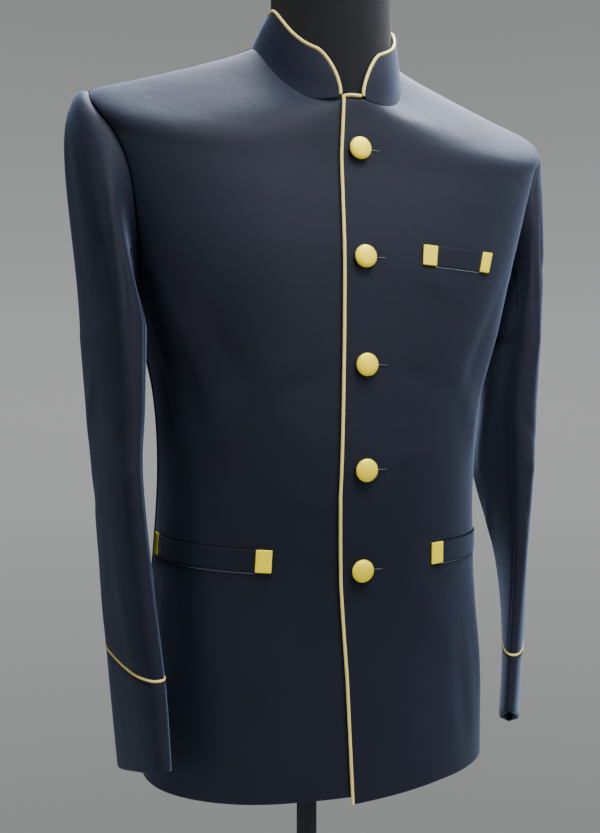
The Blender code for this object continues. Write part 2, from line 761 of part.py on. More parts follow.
FORM = form_rings()
loft("form_torso", FORM, form_cloth)
lathe("form_base", BASE, BASE_SEGMENTS, stand_steel, Vector)
lathe(
    "form_pole",
    ((POLE_R, BASE[-1][1] + 0.0004), (POLE_R, FORM[0][0, 2] - 0.0004)),
    20,
    stand_steel,
    Vector,
)
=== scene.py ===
import math

import bmesh
import bpy
import numpy as np
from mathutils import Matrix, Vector


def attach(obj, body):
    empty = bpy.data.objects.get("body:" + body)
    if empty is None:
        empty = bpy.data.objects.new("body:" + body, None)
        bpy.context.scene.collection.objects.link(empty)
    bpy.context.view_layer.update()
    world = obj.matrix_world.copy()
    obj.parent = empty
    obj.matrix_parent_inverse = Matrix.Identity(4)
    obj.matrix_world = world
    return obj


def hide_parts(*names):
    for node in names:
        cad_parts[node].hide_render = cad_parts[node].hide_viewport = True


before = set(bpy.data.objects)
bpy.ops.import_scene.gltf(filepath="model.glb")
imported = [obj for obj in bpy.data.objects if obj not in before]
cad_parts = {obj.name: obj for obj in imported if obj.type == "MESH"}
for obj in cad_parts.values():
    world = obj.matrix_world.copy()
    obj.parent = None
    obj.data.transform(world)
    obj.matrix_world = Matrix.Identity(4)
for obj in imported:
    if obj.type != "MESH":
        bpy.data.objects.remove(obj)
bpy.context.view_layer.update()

# The stand. A pressed steel disc with a rolled rim and a shallow cone up to its
# socket, and a drawn steel tube that stands in it. Both are powder coated black,
# which shows as a fine orange peel under soft highlights.
POLE_RADIUS = 0.0108
POLE_TOP = 0.9064
BASE_PROFILE = (
    # radius, height
    (0.0000, 0.0000), (0.1860, 0.0000), (0.1888, 0.0008), (0.1900, 0.0030),
    (0.1900, 0.0066), (0.1880, 0.0100), (0.1820, 0.0136), (0.1100, 0.0203),
    (0.0440, 0.0255), (0.0300, 0.0280), (0.0245, 0.0318), (0.0225, 0.0338),
    (0.0112, 0.0340), (0.0112, 0.0300),
)
POLE_PROFILE = (
    (POLE_RADIUS, 0.0345),
    (POLE_RADIUS, 0.8200),
    (POLE_RADIUS, POLE_TOP),
)


def linear(code):
    """An sRGB hex colour as the linear values of a socket."""
    shares = [int(code[i : i + 2], 16) / 255 for i in (0, 2, 4)]
    return (*[s / 12.92 if s <= 0.04045 else ((s + 0.055) / 1.055) ** 2.4 for s in shares], 1.0)


def add(tree, kind, inputs=(), **settings):
    """Adds a node with its settings, and its inputs as values or links."""
    made = tree.nodes.new(kind)
    for name, value in settings.items():
        setattr(made, name, value)
    for name, value in dict(inputs).items():
        if isinstance(value, bpy.types.NodeSocket):
            tree.links.new(value, made.inputs[name])
        else:
            made.inputs[name].default_value = value
    return made


def finish(name, colour, roughness, metallic=0.0, **sockets):
    """A material of one Principled shader, with its tree and shader."""
    made = bpy.data.materials.new(name)
    made.use_nodes = True
    shader = made.node_tree.nodes["Principled BSDF"]
    shader.inputs["Base Color"].default_value = linear(colour)
    shader.inputs["Roughness"].default_value = roughness
    shader.inputs["Metallic"].default_value = metallic
    for socket, value in sockets.items():
        shader.inputs[socket.replace("_", " ").title().replace("Ior", "IOR")].default_value = value
    return made, made.node_tree, shader


def relief(tree, shader, height, depth, strength=1.0):
    """Lets a height pattern, 0 to 1, stand this deep in metres on the surface."""
    bump = add(tree, "ShaderNodeBump", {"Height": height, "Distance": depth, "Strength": strength})
    tree.links.new(bump.outputs["Normal"], shader.inputs["Normal"])


def blend(tree, share, first, second):
    """A colour between two others, by a 0 to 1 share."""
    return add(tree, "ShaderNodeMix", {0: share, 6: first, 7: second}, data_type="RGBA").outputs[2]


def two_tone(tree, shader, share, first, second):
    """Colours the surface between two hex colours by a 0 to 1 pattern."""
    tree.links.new(blend(tree, share, linear(first), linear(second)), shader.inputs["Base Color"])


def pattern(tree, kind, space, inputs, **settings):
    """A texture's 0 to 1 pattern, laid in the cloth's own UV or in Object space."""
    place = add(tree, "ShaderNodeTexCoord").outputs[space]
    return add(tree, kind, {"Vector": place, **inputs}, **settings).outputs["Fac"]


# Powder coat: sprayed polyester powder, baked to a satin black with an orange peel
# about 1.5 mm across.
coat_black, tree, shader = finish("powder_coated_steel", "0a0b0d", 0.4, specular_ior_level=0.3)
peel = pattern(tree, "ShaderNodeTexNoise", "Object", {"Scale": 650, "Detail": 2})
relief(tree, shader, peel, 0.00006)
dust = pattern(tree, "ShaderNodeTexNoise", "Object", {"Scale": 9, "Detail": 5})
two_tone(tree, shader, dust, "101114", "1c1d20")


def keep(mesh, name, material, stands_for=()):
    """Makes a finished piece of a mesh: smooth, riding on the coat's one body."""
    mesh.shade_smooth()
    made = bpy.data.objects.new(name, mesh)
    bpy.context.collection.objects.link(made)
    mesh.materials.append(material)
    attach(made, "root")
    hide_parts(*stands_for)
    return made


def turned(name, profile, steps, crease=35):
    """A mesh spun about Z from (radius, height) pairs."""
    bm = bmesh.new()
    line = [bm.verts.new((radius, 0, height)) for radius, height in profile]
    edges = [bm.edges.new(pair) for pair in zip(line, line[1:])]
    bmesh.ops.spin(
        bm, geom=line + edges, cent=(0, 0, 0), axis=(0, 0, 1), angle=2 * math.pi,
        steps=steps, use_merge=True, use_duplicate=False,
    )
    bmesh.ops.remove_doubles(bm, verts=bm.verts, dist=0.000002)
    bmesh.ops.recalc_face_normals(bm, faces=bm.faces)
    mesh = bpy.data.meshes.new(name)
    bm.to_mesh(mesh)
    bm.free()
    mesh.set_sharp_from_angle(angle=math.radians(crease))
    return mesh


for name, profile, steps in (("base", BASE_PROFILE, 96), ("pole", POLE_PROFILE, 40)):
    keep(turned("stand_" + name, profile, steps), "stand_" + name, coat_black,
         ["form_" + name])

# The body of the worn coat, which the form and every panel follow: rings from the
# hem to the neckline, each square to some degree, higher or lower at front and back.
# Heights are above the hem and y is from the shoulder line.
HEM_Z = 0.800
BACK_Y = -0.050
CLOTH = 0.0018
RINGS = (
    # side, front, back, half width, y side, y front, y back, squareness
    (0.000, 0.000, 0.000, 0.1820, 0.0255, -0.0985, 0.1495, 2.20),
    (0.100, 0.100, 0.100, 0.1790, 0.0240, -0.0985, 0.1460, 2.20),
    (0.200, 0.200, 0.200, 0.1710, 0.0220, -0.1005, 0.1390, 2.25),
    (0.300, 0.300, 0.300, 0.1655, 0.0180, -0.1105, 0.1330, 2.30),
    (0.380, 0.380, 0.380, 0.1700, 0.0140, -0.1120, 0.1350, 2.45),
    (0.450, 0.445, 0.450, 0.1850, 0.0120, -0.1110, 0.1400, 2.80),
    (0.530, 0.505, 0.525, 0.2040, 0.0100, -0.1085, 0.1410, 3.00),
    (0.600, 0.555, 0.585, 0.2220, 0.0050, -0.1025, 0.1350, 3.00),
    (0.645, 0.587, 0.630, 0.2350, 0.0020, -0.0980, 0.1240, 2.90),
    (0.664, 0.607, 0.660, 0.2385, 0.0000, -0.0960, 0.1120, 2.80),
    (0.682, 0.624, 0.688, 0.1900, 0.0000, -0.0950, 0.0930, 2.50),
    (0.700, 0.638, 0.711, 0.1400, 0.0000, -0.0940, 0.0730, 2.30),
    (0.716, 0.648, 0.727, 0.0990, 0.0000, -0.0935, 0.0560, 2.10),
    (0.727, 0.656, 0.738, 0.0766, 0.0000, -0.0930, 0.0460, 1.90),
)
TOP = len(RINGS) - 1


def spline(rows, at):
    """Values of a table at a row number, on a smooth curve through its rows."""
    table = np.array(rows, float)
    last = len(table) - 1
    at = np.clip(np.asarray(at, float), 0, last)
    low = np.clip(np.floor(at).astype(int), 0, last - 1)
    part = (at - low)[..., None]
    before = table[np.clip(low - 1, 0, last)]
    start = table[low]
    end = table[low + 1]
    after = table[np.clip(low + 2, 0, last)]
    return (
        start * (2 * part**3 - 3 * part**2 + 1)
        + (end - before) / 2 * (part**3 - 2 * part**2 + part)
        + end * (3 * part**2 - 2 * part**3)
        + (after - start) / 2 * (part**3 - part**2)
    )


def body(angle, ring):
    """A point of the coat's body: angle 0 at the front, a quarter turn at the left."""
    angle = np.asarray(angle, float)
    side, front, back, half, y_side, y_front, y_back, square = np.moveaxis(
        spline(RINGS, ring), -1, 0
    )
    sine = np.sin(angle)
    cosine = np.cos(angle)
    reach = (np.abs(sine) ** square + np.abs(cosine) ** square) ** (-1 / square)
    depth = np.where(cosine > 0, y_side - y_front, y_back - y_side)
    quarter = np.abs((angle + np.pi) % (2 * np.pi) - np.pi) / (np.pi / 2)
    ahead = (1 + np.cos(np.pi * np.clip(quarter, 0, 1) ** 1.8)) / 2
    behind = (1 + np.cos(np.pi * np.clip(2 - quarter, 0, 1) ** 1.6)) / 2
    z = side + (front - side) * ahead + (back - side) * behind
    return np.stack(
        [half * reach * sine, y_side - depth * reach * cosine + BACK_Y, z + HEM_Z], -1
    )


def outward(angle, ring):
    """The body's outward normal."""
    low = np.clip(np.asarray(ring, float) - 0.01, 0, TOP)
    high = np.clip(np.asarray(ring, float) + 0.01, 0, TOP)
    around = body(angle + 0.01, ring) - body(angle - 0.01, ring)
    normal = np.cross(around, body(angle, high) - body(angle, low))
    return normal / np.linalg.norm(normal, axis=-1, keepdims=True)


# The dress form's torso. A moulded shell padded and covered in black cotton jersey,
# cut off flat below the waist, with a short flat-topped neck. Only the neck shows
# above the collar, and the underside through the hem.
FORM_GAP = 0.0095
FORM_GAPS = (
    # ring of the body, gap to the cloth, gap along the shoulder's ridge
    *[(ring, FORM_GAP, FORM_GAP) for ring in (1.2, 2.0, 3.0, 4.0, 5.0, 6.0, 7.0, 8.0)],
    (8.6, 0.0095, 0.0085),
    (9.2, 0.0095, 0.0060),
    (10.0, 0.0090, 0.0020),
    (10.8, 0.0085, 0.0020),
    (11.6, 0.0080, 0.0022),
    (12.3, 0.0075, 0.0045),
    (13.0, 0.0065, 0.0065),
)
UNDERSIDE = ((0.86, 0.012), (0.97, 0.008))  # share of the lowest ring, drop below it
UNDERSIDE_Y = 0.004 / 0.14
FORM_NECK = (
    # side, front and back height, half width, y front, y back
    (0.745, 0.692, 0.752, 0.0618, -0.0820, 0.0385),
    (0.772, 0.760, 0.774, 0.0608, -0.0822, 0.0375),
    (0.812, 0.812, 0.812, 0.0606, -0.0822, 0.0372),
    (0.822, 0.822, 0.822, 0.0540, -0.0760, 0.0305),
    (0.827, 0.827, 0.827, 0.0320, -0.0540, 0.0085),
    (0.827, 0.827, 0.827, 0.0060, -0.0280, -0.0160),
)

# Cotton jersey: fine knitted loops, dull black with a soft bloom. The loops are
# drawn 1.3 mm apart, about twice their size, so that they show.
jersey, tree, shader = finish(
    "cotton_jersey", "0d0e11", 0.85, sheen_weight=0.08, specular_ior_level=0.12
)
wale = pattern(tree, "ShaderNodeTexWave", "UV", {"Scale": 242, "Distortion": 0.6})
course = pattern(tree, "ShaderNodeTexWave", "UV", {"Scale": 300, "Distortion": 0.6},
                 bands_direction="Y")
loops = add(tree, "ShaderNodeMath", {0: wale, 1: course}, operation="MULTIPLY").outputs[0]
relief(tree, shader, loops, 0.00012)
two_tone(tree, shader, loops, "08090b", "0d0e11")


def lengths(points):
    """Distances across and along a grid of points, in metres, to measure a weave by."""
    across = np.linalg.norm(np.diff(points, axis=0), axis=-1)
    along = np.linalg.norm(np.diff(points, axis=1), axis=-1)
    across = np.concatenate([0 * across[:1], np.cumsum(across, axis=0)])
    along = np.concatenate([0 * along[:, :1], np.cumsum(along, axis=1)], 1)
    middle = len(across) // 2
    return np.stack([across - across[middle], along], -1)


def woven(name, points, closed=False, turn_over=False, caps=False):
    """A cut of cloth: a flat grid whose points are laid where the array says."""
    points = np.asarray(points, float)
    columns, rows = points.shape[0] - 1, points.shape[1] - 1
    bm = bmesh.new()
    bmesh.ops.create_grid(bm, x_segments=columns, y_segments=rows, size=0.5, calc_uvs=True)
    mesh = bpy.data.meshes.new(name)
    bm.to_mesh(mesh)
    bm.free()
    flat = np.zeros(len(mesh.vertices) * 3, np.float32)
    mesh.vertices.foreach_get("co", flat)
    flat = flat.reshape(-1, 3) + 0.5
    i = np.rint(flat[:, 0] * columns).astype(int)
    j = np.rint(flat[:, 1] * rows).astype(int)
    mesh.vertices.foreach_set("co", points[i, j].astype(np.float32).ravel())
    corner = np.zeros(len(mesh.loops), np.int32)
    mesh.loops.foreach_get("vertex_index", corner)
    layer = mesh.uv_layers[0] if mesh.uv_layers else mesh.uv_layers.new(name="UVMap")
    layer.name = "UVMap"
    layer.data.foreach_set("uv", lengths(points)[i, j][corner].astype(np.float32).ravel())
    if closed or caps:
        bm = bmesh.new()
        bm.from_mesh(mesh)
        bmesh.ops.remove_doubles(bm, verts=bm.verts, dist=0.000005)
        if caps:
            bmesh.ops.holes_fill(bm, edges=bm.edges, sides=0)
        bm.to_mesh(mesh)
        bm.free()
    if turn_over:
        mesh.flip_normals()
    mesh.update()
    return mesh


def form_surface():
    """Points of the form: inside the coat up to the neckline, then its own neck."""
    angle = np.linspace(0, 2 * np.pi, 97)
    ridge = np.abs(np.sin(angle)) ** 3
    rings = []
    for ring, away, near_ridge in FORM_GAPS:
        gap = CLOTH + away + (near_ridge - away) * ridge
        rings.append(body(angle, ring) - gap[:, None] * outward(angle, ring))
    first = rings[0]
    under = []
    for inward, drop in UNDERSIDE:
        low = first * [inward, inward, 0] - [0, UNDERSIDE_Y * (1 - inward), 0]
        low[:, 2] = first[:, 2].min() - drop
        under.append(low)
    rings = under + rings
    for side, front, back, half, y_front, y_back in FORM_NECK:
        share = np.cos(angle) ** 2
        height = side + np.where(np.cos(angle) > 0, front - side, back - side) * share
        middle = (y_front + y_back) / 2
        depth = (y_back - y_front) / 2
        around = [half * np.sin(angle), middle - depth * np.cos(angle) + BACK_Y, height + HEM_Z]
        rings.append(np.stack(around, -1))
    flat = np.array(rings).reshape(len(rings), -1)
    at = np.linspace(0, len(rings) - 1, 5 * (len(rings) - 1) + 1)
    smooth = spline(flat, at).reshape(len(at), len(angle), 3)
    return np.swapaxes(smooth, 0, 1)


keep(woven("form_cover", form_surface(), closed=True, caps=True), "form_cover", jersey,
     ["form_torso"])

# The suiting. A midnight-blue twill of worsted and polyester, pressed with its canvas
# and lining to one wall. The yarns are near black with a faint blue, and the pressed
# face gives a broad, soft, cool shine. The twill's ribs are drawn 1.3 mm apart, three
# times their real spacing, so that they show. Slack spots about 24 mm across keep the
# shine uneven, as the canvas below does.
suiting, tree, shader = finish(
    "worsted_twill", "181b26", 0.6, sheen_weight=0.36, sheen_roughness=0.4,
    specular_ior_level=0.11,
)
shader.inputs["Sheen Tint"].default_value = linear("9fb0cc")
rib = pattern(
    tree, "ShaderNodeTexWave", "UV",
    {"Scale": 342, "Distortion": 1.2, "Detail": 1, "Detail Scale": 40},
    bands_direction="DIAGONAL",
)
slub = pattern(tree, "ShaderNodeTexNoise", "UV", {"Scale": 900, "Detail": 2})
yarn = add(tree, "ShaderNodeMath", {0: rib, 1: slub}, operation="MULTIPLY").outputs[0]
relief(tree, shader, yarn, 0.00010, 0.4)
pucker = pattern(tree, "ShaderNodeTexNoise", "Object", {"Scale": 42, "Detail": 3})
slack = add(tree, "ShaderNodeBump", {"Height": pucker, "Distance": 0.0011, "Strength": 0.55})
tree.links.new(slack.outputs["Normal"], tree.nodes["Bump"].inputs["Normal"])
cloud = pattern(tree, "ShaderNodeTexNoise", "UV", {"Scale": 7, "Detail": 3})
worn = add(tree, "ShaderNodeMath", {0: cloud, 1: yarn}, operation="ADD").outputs[0]
shade = add(tree, "ShaderNodeMapRange", {"Value": worn, "From Min": 0.4, "From Max": 1.3})
two_tone(tree, shader, shade.outputs[0], "0e1019", "161925")
gloss = add(tree, "ShaderNodeMapRange", {"Value": cloud, "To Min": 0.56, "To Max": 0.70})
tree.links.new(gloss.outputs[0], shader.inputs["Roughness"])

# The two backs and the two fronts. Each is one long cut from hem to shoulder seam,
# joined at the centre back, the sides and the shoulders. The wearer's left front laps
# over the right. The folds are where the cloth really drags: from the armholes down
# to the waist, across at the buttons, and in slow waves round the skirt.
SIDES = ((-1, "right"), (1, "left"))
SHOULDER = 9.0
ARMPIT = 4.85
SIDE_SEAM = math.radians(103)
HOLE_FRONT = math.radians(38)
HOLE_BACK = math.radians(30)
HOLE_STEPS = 24
PANEL_ROWS = 60
SEAM = 0.00016  # half the gap between two cuts at their seam
LAP_DROP = 0.0030  # how far the under front lies behind the lapping one
LAP_EASE = ((0, 0.22, 0.29, 0.37), (1, 1, 0.45, 0))  # its fall by share of the panel
LAP_HANG = 0.006  # how much lower the lapping front's corner hangs
EDGE_Z = (0.0, 0.11, 0.20, 0.28, 0.44, 0.60, 0.656)
EDGE_X = (-0.0050, -0.0108, -0.0178, -0.0216, -0.0186, -0.0157, -0.0116)
UNDER_X = 0.022
GIRTH = 0.19  # metres of cloth to one radian of the body, near enough for folds
FOLD_DEPTH = 1.4 / 1000  # metres to one unit of a fold's rise
BODY_FOLDS = (
    # degrees and height of one end, of the other, half width (mm), rise
    (62, 0.50, 50, 0.33, 15, 2.2), (50, 0.50, 38, 0.36, 12, -1.6),
    (74, 0.46, 66, 0.30, 13, 2.0), (30, 0.42, 60, 0.31, 16, 1.2),
    (12, 0.50, 30, 0.47, 9, 0.9), (7, 0.31, 26, 0.33, 10, 0.9),
    (9, 0.40, 30, 0.385, 9, -0.7), (20, 0.20, 45, 0.10, 22, 1.4),
    (58, 0.17, 66, 0.02, 20, 1.8), (40, 0.14, 46, 0.01, 18, -1.5),
    (80, 0.20, 86, 0.03, 16, -1.6), (-60, 0.49, -48, 0.34, 15, 1.8),
    (-72, 0.45, -62, 0.30, 13, 1.8), (-46, 0.47, -36, 0.36, 12, -1.3),
    (-30, 0.40, -58, 0.31, 16, 1.0), (-10, 0.40, -28, 0.37, 10, -0.8),
    (-8, 0.27, -30, 0.29, 12, 0.9), (-20, 0.17, -40, 0.06, 22, 1.2),
    (-60, 0.16, -68, 0.02, 20, 1.6), (-82, 0.19, -88, 0.03, 15, -1.6),
    (118, 0.47, 132, 0.31, 15, 2.4), (134, 0.50, 150, 0.35, 13, -1.8),
    (152, 0.42, 168, 0.27, 15, 1.8), (112, 0.16, 120, 0.01, 18, 1.8),
    (140, 0.19, 146, 0.02, 20, -1.8), (164, 0.18, 166, 0.01, 18, 1.6),
    (-116, 0.46, -128, 0.30, 15, 2.2), (-132, 0.51, -150, 0.36, 13, -1.7),
    (-150, 0.41, -166, 0.28, 15, 1.9), (-110, 0.17, -118, 0.01, 18, 1.7),
    (-136, 0.20, -144, 0.03, 20, -1.7), (-162, 0.16, -166, 0.01, 18, 1.5),
)


def rise_of(folds, across, along):
    """How far ridges and troughs lift the cloth at points across and along it."""
    lift = 0 * across
    for x, y, x_end, y_end, wide, high in folds:
        dx, dy = x_end - x, y_end - y
        share = np.clip(((across - x) * dx + (along - y) * dy) / (dx * dx + dy * dy), 0, 1)
        away = np.hypot(across - x - share * dx, along - y - share * dy)
        fade = 0.30 + 0.70 * np.sin(np.pi * share) ** 1.5
        lift = lift + high * FOLD_DEPTH * fade * np.exp(-((away / (wide / 1000)) ** 2))
    return lift


def worn_body(angle, ring, lift=0.0):
    """A point of the cloth as it hangs, folds included, and this far off its face."""
    angle = np.asarray(angle, float)
    plain = body(angle, ring)
    turn = np.degrees((angle + np.pi) % (2 * np.pi) - np.pi)
    table = [(np.radians(a) * GIRTH, z, np.radians(b) * GIRTH, w, s, h)
             for a, z, b, w, s, h in BODY_FOLDS]
    rise = rise_of(table, np.radians(turn) * GIRTH, plain[..., 2] - HEM_Z)
    return plain + (rise + lift)[..., None] * outward(angle, ring)


def angle_shift(angle, ring, distance):
    """The turn that moves a point of the body by this distance round it."""
    pace = np.linalg.norm(body(angle + 0.01, ring) - body(angle - 0.01, ring), axis=-1) / 0.02
    return distance / pace


def armhole(step, side):
    """Angle and ring of the armhole's edge. Step 0 is the shoulder, a quarter the front."""
    share = np.asarray(step, float) / HOLE_STEPS * 2 * np.pi
    reach = np.where(np.sin(share) > 0, HOLE_FRONT, HOLE_BACK)
    tilt = (1 - np.cos(share)) / 2 * (SIDE_SEAM - np.pi / 2)
    angle = np.pi / 2 + tilt - reach * np.sign(np.sin(share)) * np.abs(np.sin(share)) ** 1.05
    return side * angle, (SHOULDER + ARMPIT) / 2 + (SHOULDER - ARMPIT) / 2 * np.cos(share)


def middle_edge(which, rings):
    """Angles and rings of a panel's edge at the front or at the centre back."""
    if which == "back":
        return np.stack([np.full(len(rings), np.pi), rings], -1)
    heights = body(0.0 * rings, rings)[:, 2] - HEM_Z
    edge = np.interp(heights, EDGE_Z, EDGE_X) if which == "lap" else np.full(len(rings), UNDER_X)
    return np.stack([np.arcsin(edge / spline(RINGS, rings)[:, 3]), rings], -1)


def panel_cut(part, side, rows, columns):
    """The (angle, ring) grid of a front or a back, close together at its seams."""
    back = part == "back"
    near = np.array([0, 0.12, 0.3, 0.6])
    low = np.concatenate([near / rows, np.linspace(1 / rows, 1, rows)]) * ARMPIT
    high = ARMPIT + (TOP - ARMPIT) * np.linspace(0, 1, rows + 1)[1:]
    rings = np.concatenate([low, high])
    inner = middle_edge("back" if back else "lap" if side > 0 else "under", rings)
    if back:
        inner[:, 0] = np.pi - angle_shift(inner[:, 0], inner[:, 1], SEAM)
    elif side < 0:
        inner[:, 0] *= -1
    seam = np.stack([np.full(len(low), SIDE_SEAM), low], -1)
    steps = HOLE_STEPS / 2 * (1 + np.linspace(0, 1, rows + 1) * (1 if back else -1))
    hole = np.stack(armhole(steps, 1), -1)
    split = 5 / 9 if back else 7 / 11
    shares = np.concatenate([
        near / columns,
        np.linspace(1 / columns, split, columns // 2),
        np.linspace(split, 1 - 1 / columns, columns // 2)[1:],
        1 - near[::-1] / columns,
    ])
    neck_share = np.clip(shares / split, 0, 1)
    ridge_share = np.clip((shares - split) / (1 - split), 0, 1)
    top_angle = inner[-1, 0] * (1 - neck_share) + np.pi / 2 * neck_share
    top_ring = TOP + (SHOULDER - TOP) * ridge_share
    turn = 1 if back else -1
    seam[:, 0] += turn * angle_shift(seam[:, 0], seam[:, 1], SEAM)
    ridge = ridge_share > 0
    ridge_angle = np.pi / 2 + turn * angle_shift(top_angle, top_ring, SEAM)
    top_angle = np.where(ridge, ridge_angle, top_angle)
    top = np.stack([top_angle, top_ring], -1)
    outer = np.concatenate([seam, hole[1:]])
    outer[-1] = top[-1]
    u = shares[:, None, None]
    lift = (np.interp(rings, [0, ARMPIT, TOP], [0, 10 / 22, 1]) ** 8)[None, :, None]
    bottom = inner[0] * (1 - shares[:, None]) + outer[0] * shares[:, None]
    grid = (
        (1 - u) * inner[None]
        + u * outer[None]
        + (1 - lift) * bottom[:, None]
        + lift * top[:, None]
        - (1 - u) * (1 - lift) * inner[0]
        - u * (1 - lift) * outer[0]
        - (1 - u) * lift * inner[-1]
        - u * lift * outer[-1]
    )
    grid[..., 0] *= side
    return grid, shares


def front_lie(points, normal, shares, side):
    """Sets the under front behind the lapping one, which hangs a little lower."""
    if side < 0:
        drop = LAP_DROP * np.interp(shares, *LAP_EASE)
        return points - drop[:, None, None] * normal
    low = np.clip(1 - (points[..., 2] - HEM_Z) / 0.10, 0, 1) ** 2
    near = np.clip(1 - np.abs(points[..., 0] + 0.007) / 0.10, 0, 1)
    points[..., 2] -= LAP_HANG * low * near
    return points


def tuck(points, normal, edges, depth=0.0007, wide=0.0016):
    """Rolls the cloth in a little where it is seamed: left, right, bottom or top."""
    span = lengths(points)
    across = span[..., 0] - span[:1, :, 0]
    along = span[..., 1]
    away = {
        "left": across, "right": across[-1:] - across,
        "bottom": along, "top": along[:, -1:] - along,
    }
    for edge in edges:
        points = points - depth * np.exp(-((away[edge] / wide) ** 2))[..., None] * normal
    return points


def wall(made, thick, rounding=0.0004):
    """Gives a cut of cloth its thickness, inward, and soft folded edges."""
    solid = made.modifiers.new("wall", "SOLIDIFY")
    solid.thickness = thick
    solid.offset = -1
    edge = made.modifiers.new("edges", "BEVEL")
    edge.width = rounding
    edge.segments = 2
    edge.limit_method = "ANGLE"
    edge.angle_limit = math.radians(50)


def sewn(name, points, side, node, rests_on, closed=False, **cut):
    """One cut of suiting, laid out as points and given its wall."""
    mesh = woven(name, points, closed=closed, turn_over=side < 0)
    made = keep(mesh, name, suiting, [node])
    wall(made, CLOTH)


def body_panel(name, part, side, node, flat, area):
    """A front or a back, with its folds, lap and rolled seams."""
    grid, shares = panel_cut(part, side, PANEL_ROWS, PANEL_ROWS)
    angle, ring = grid[..., 0], grid[..., 1]
    normal = outward(angle, ring)
    points = worn_body(angle, ring)
    seams = ["right", "top"]
    if part == "front":
        points = front_lie(points, normal, shares, side)
    else:
        seams.append("left")
    points = tuck(points, normal, seams)
    sewn(name, points, side, node, "form_cover", flat=flat, area=area, held="draped")


for side, word in SIDES[::-1]:
    body_panel("front_" + word, "front", side, word + "_front", (0.36, 0.76), 0.20)
for side, word in SIDES[::-1]:
    body_panel("back_half_" + word, "back", side, "back_" + word, (0.30, 0.78), 0.19)

# The sleeves. Each has a long outer piece and a narrower one against the body, eased
# into the armhole so that the head stands up in a soft rope. They hang empty, flat and
# slightly bent at the elbow, with short drag creases there and under the head.
RIGHT_SLEEVE = (
    # z, x, y, half width, half thickness, turn, rise
    (0.435, -0.2155, 0.0080, 0.0840, 0.0235, 5.0, 0.000),
    (0.365, -0.2138, 0.0045, 0.0820, 0.0193, 5.0, 0.000),
    (0.300, -0.2124, 0.0000, 0.0800, 0.0160, 3.8, 0.002),
    (0.200, -0.2051, -0.0120, 0.0740, 0.0150, 5.8, 0.005),
    (0.110, -0.1978, -0.0260, 0.0690, 0.0140, 8.5, 0.010),
    (0.030, -0.1930, -0.0400, 0.0660, 0.0130, 7.7, 0.020),
)
LEFT_SLEEVE = (
    (0.435, 0.2265, 0.0060, 0.0800, 0.0220, 16.0, 0.000),
    (0.375, 0.2235, 0.0090, 0.0840, 0.0240, 18.0, 0.000),
    (0.300, 0.2158, 0.0065, 0.0850, 0.0210, 14.5, 0.002),
    (0.200, 0.2165, -0.0110, 0.0735, 0.0130, 24.0, 0.006),
    (0.110, 0.2098, -0.0260, 0.0680, 0.0108, 31.0, 0.014),
    (0.036, 0.1970, -0.0400, 0.0660, 0.0105, 32.0, 0.026),
)
FRONT = {-1: "front_right", 1: "front_left"}
SLEEVE_SQUARE = 2.5  # how square the flattened sleeve is
HEAD_OUT = 0.014  # how far the cloth runs straight out of the armhole
HEAD_REACH = {-1: 0.029, 1: -0.006}  # and further at the top of each sleeve's head
ROPE = (0.0005, 0.005, 0.004)  # rise of the roped head, its way from the seam, its width
HOLE_GAP = 0.0005
HOLE_LIFT = 0.0002
FRONT_SEAM = 8
BACK_SEAM = 17
CUFF_CORD = 0.0013
CORD_ROOM = 0.0004  # left beside a cord where it is sewn in
CUFF_SEAM_Z = {-1: 0.128, 1: 0.118}
CUFF_LEAN = 0.0045  # how much lower the cuff's seam runs in front than its middle
CUFF_WAVE = 0.0015
SLEEVE_GIRTH = 0.0125  # metres of cloth to one step round the sleeve
SLEEVE_FOLDS = (
    # step and height of one end, of the other, half width (mm), rise
    (3.2, 0.60, 3.9, 0.44, 7, 1.6), (4.9, 0.56, 4.6, 0.38, 6, 1.3),
    (5.6, 0.54, 5.0, 0.42, 5, -1.4), (2.6, 0.50, 4.3, 0.52, 6, -0.9),
    (6.4, 0.36, 3.6, 0.33, 8, -1.2), (6.2, 0.31, 3.8, 0.30, 8, 1.2),
    (6.0, 0.27, 4.2, 0.25, 8, -0.9), (0.5, 0.40, -2.5, 0.34, 10, 1.1),
    (-1.0, 0.30, -3.8, 0.26, 10, -1.1), (-4.6, 0.52, -4.0, 0.38, 8, 1.6),
    (1.5, 0.24, 2.4, 0.12, 9, 0.9), (-3.0, 0.20, -2.0, 0.12, 9, 0.8),
    (11.0, 0.42, 12.5, 0.30, 9, 1.4), (14.0, 0.44, 13.5, 0.28, 8, -1.2),
    (12.0, 0.26, 14.5, 0.22, 8, 1.0),
)


def sleeve_ring(side, step, row):
    """A point of the hanging sleeve, by step round it and row of its table."""
    rows = RIGHT_SLEEVE if side < 0 else LEFT_SLEEVE
    z, x, y, half, thick, turn, rise = np.moveaxis(spline(rows, row), -1, 0)
    share = np.asarray(step, float) / HOLE_STEPS * 2 * np.pi
    square = SLEEVE_SQUARE
    reach = (np.abs(np.sin(share)) ** square + np.abs(np.cos(share)) ** square) ** (-1 / square)
    across = thick * reach * np.cos(share)
    ahead = half * reach * np.sin(share)
    turn = np.radians(turn)
    return np.stack(
        [
            x + side * (across * np.cos(turn) - ahead * np.sin(turn)),
            y - across * np.sin(turn) - ahead * np.cos(turn) + BACK_Y,
            z + rise * np.sin(share) + HEM_Z,
        ],
        -1,
    )


HOLE_MIDDLE = {
    side: body(*armhole(np.arange(HOLE_STEPS), side)).mean(axis=0) for side in (-1, 1)
}


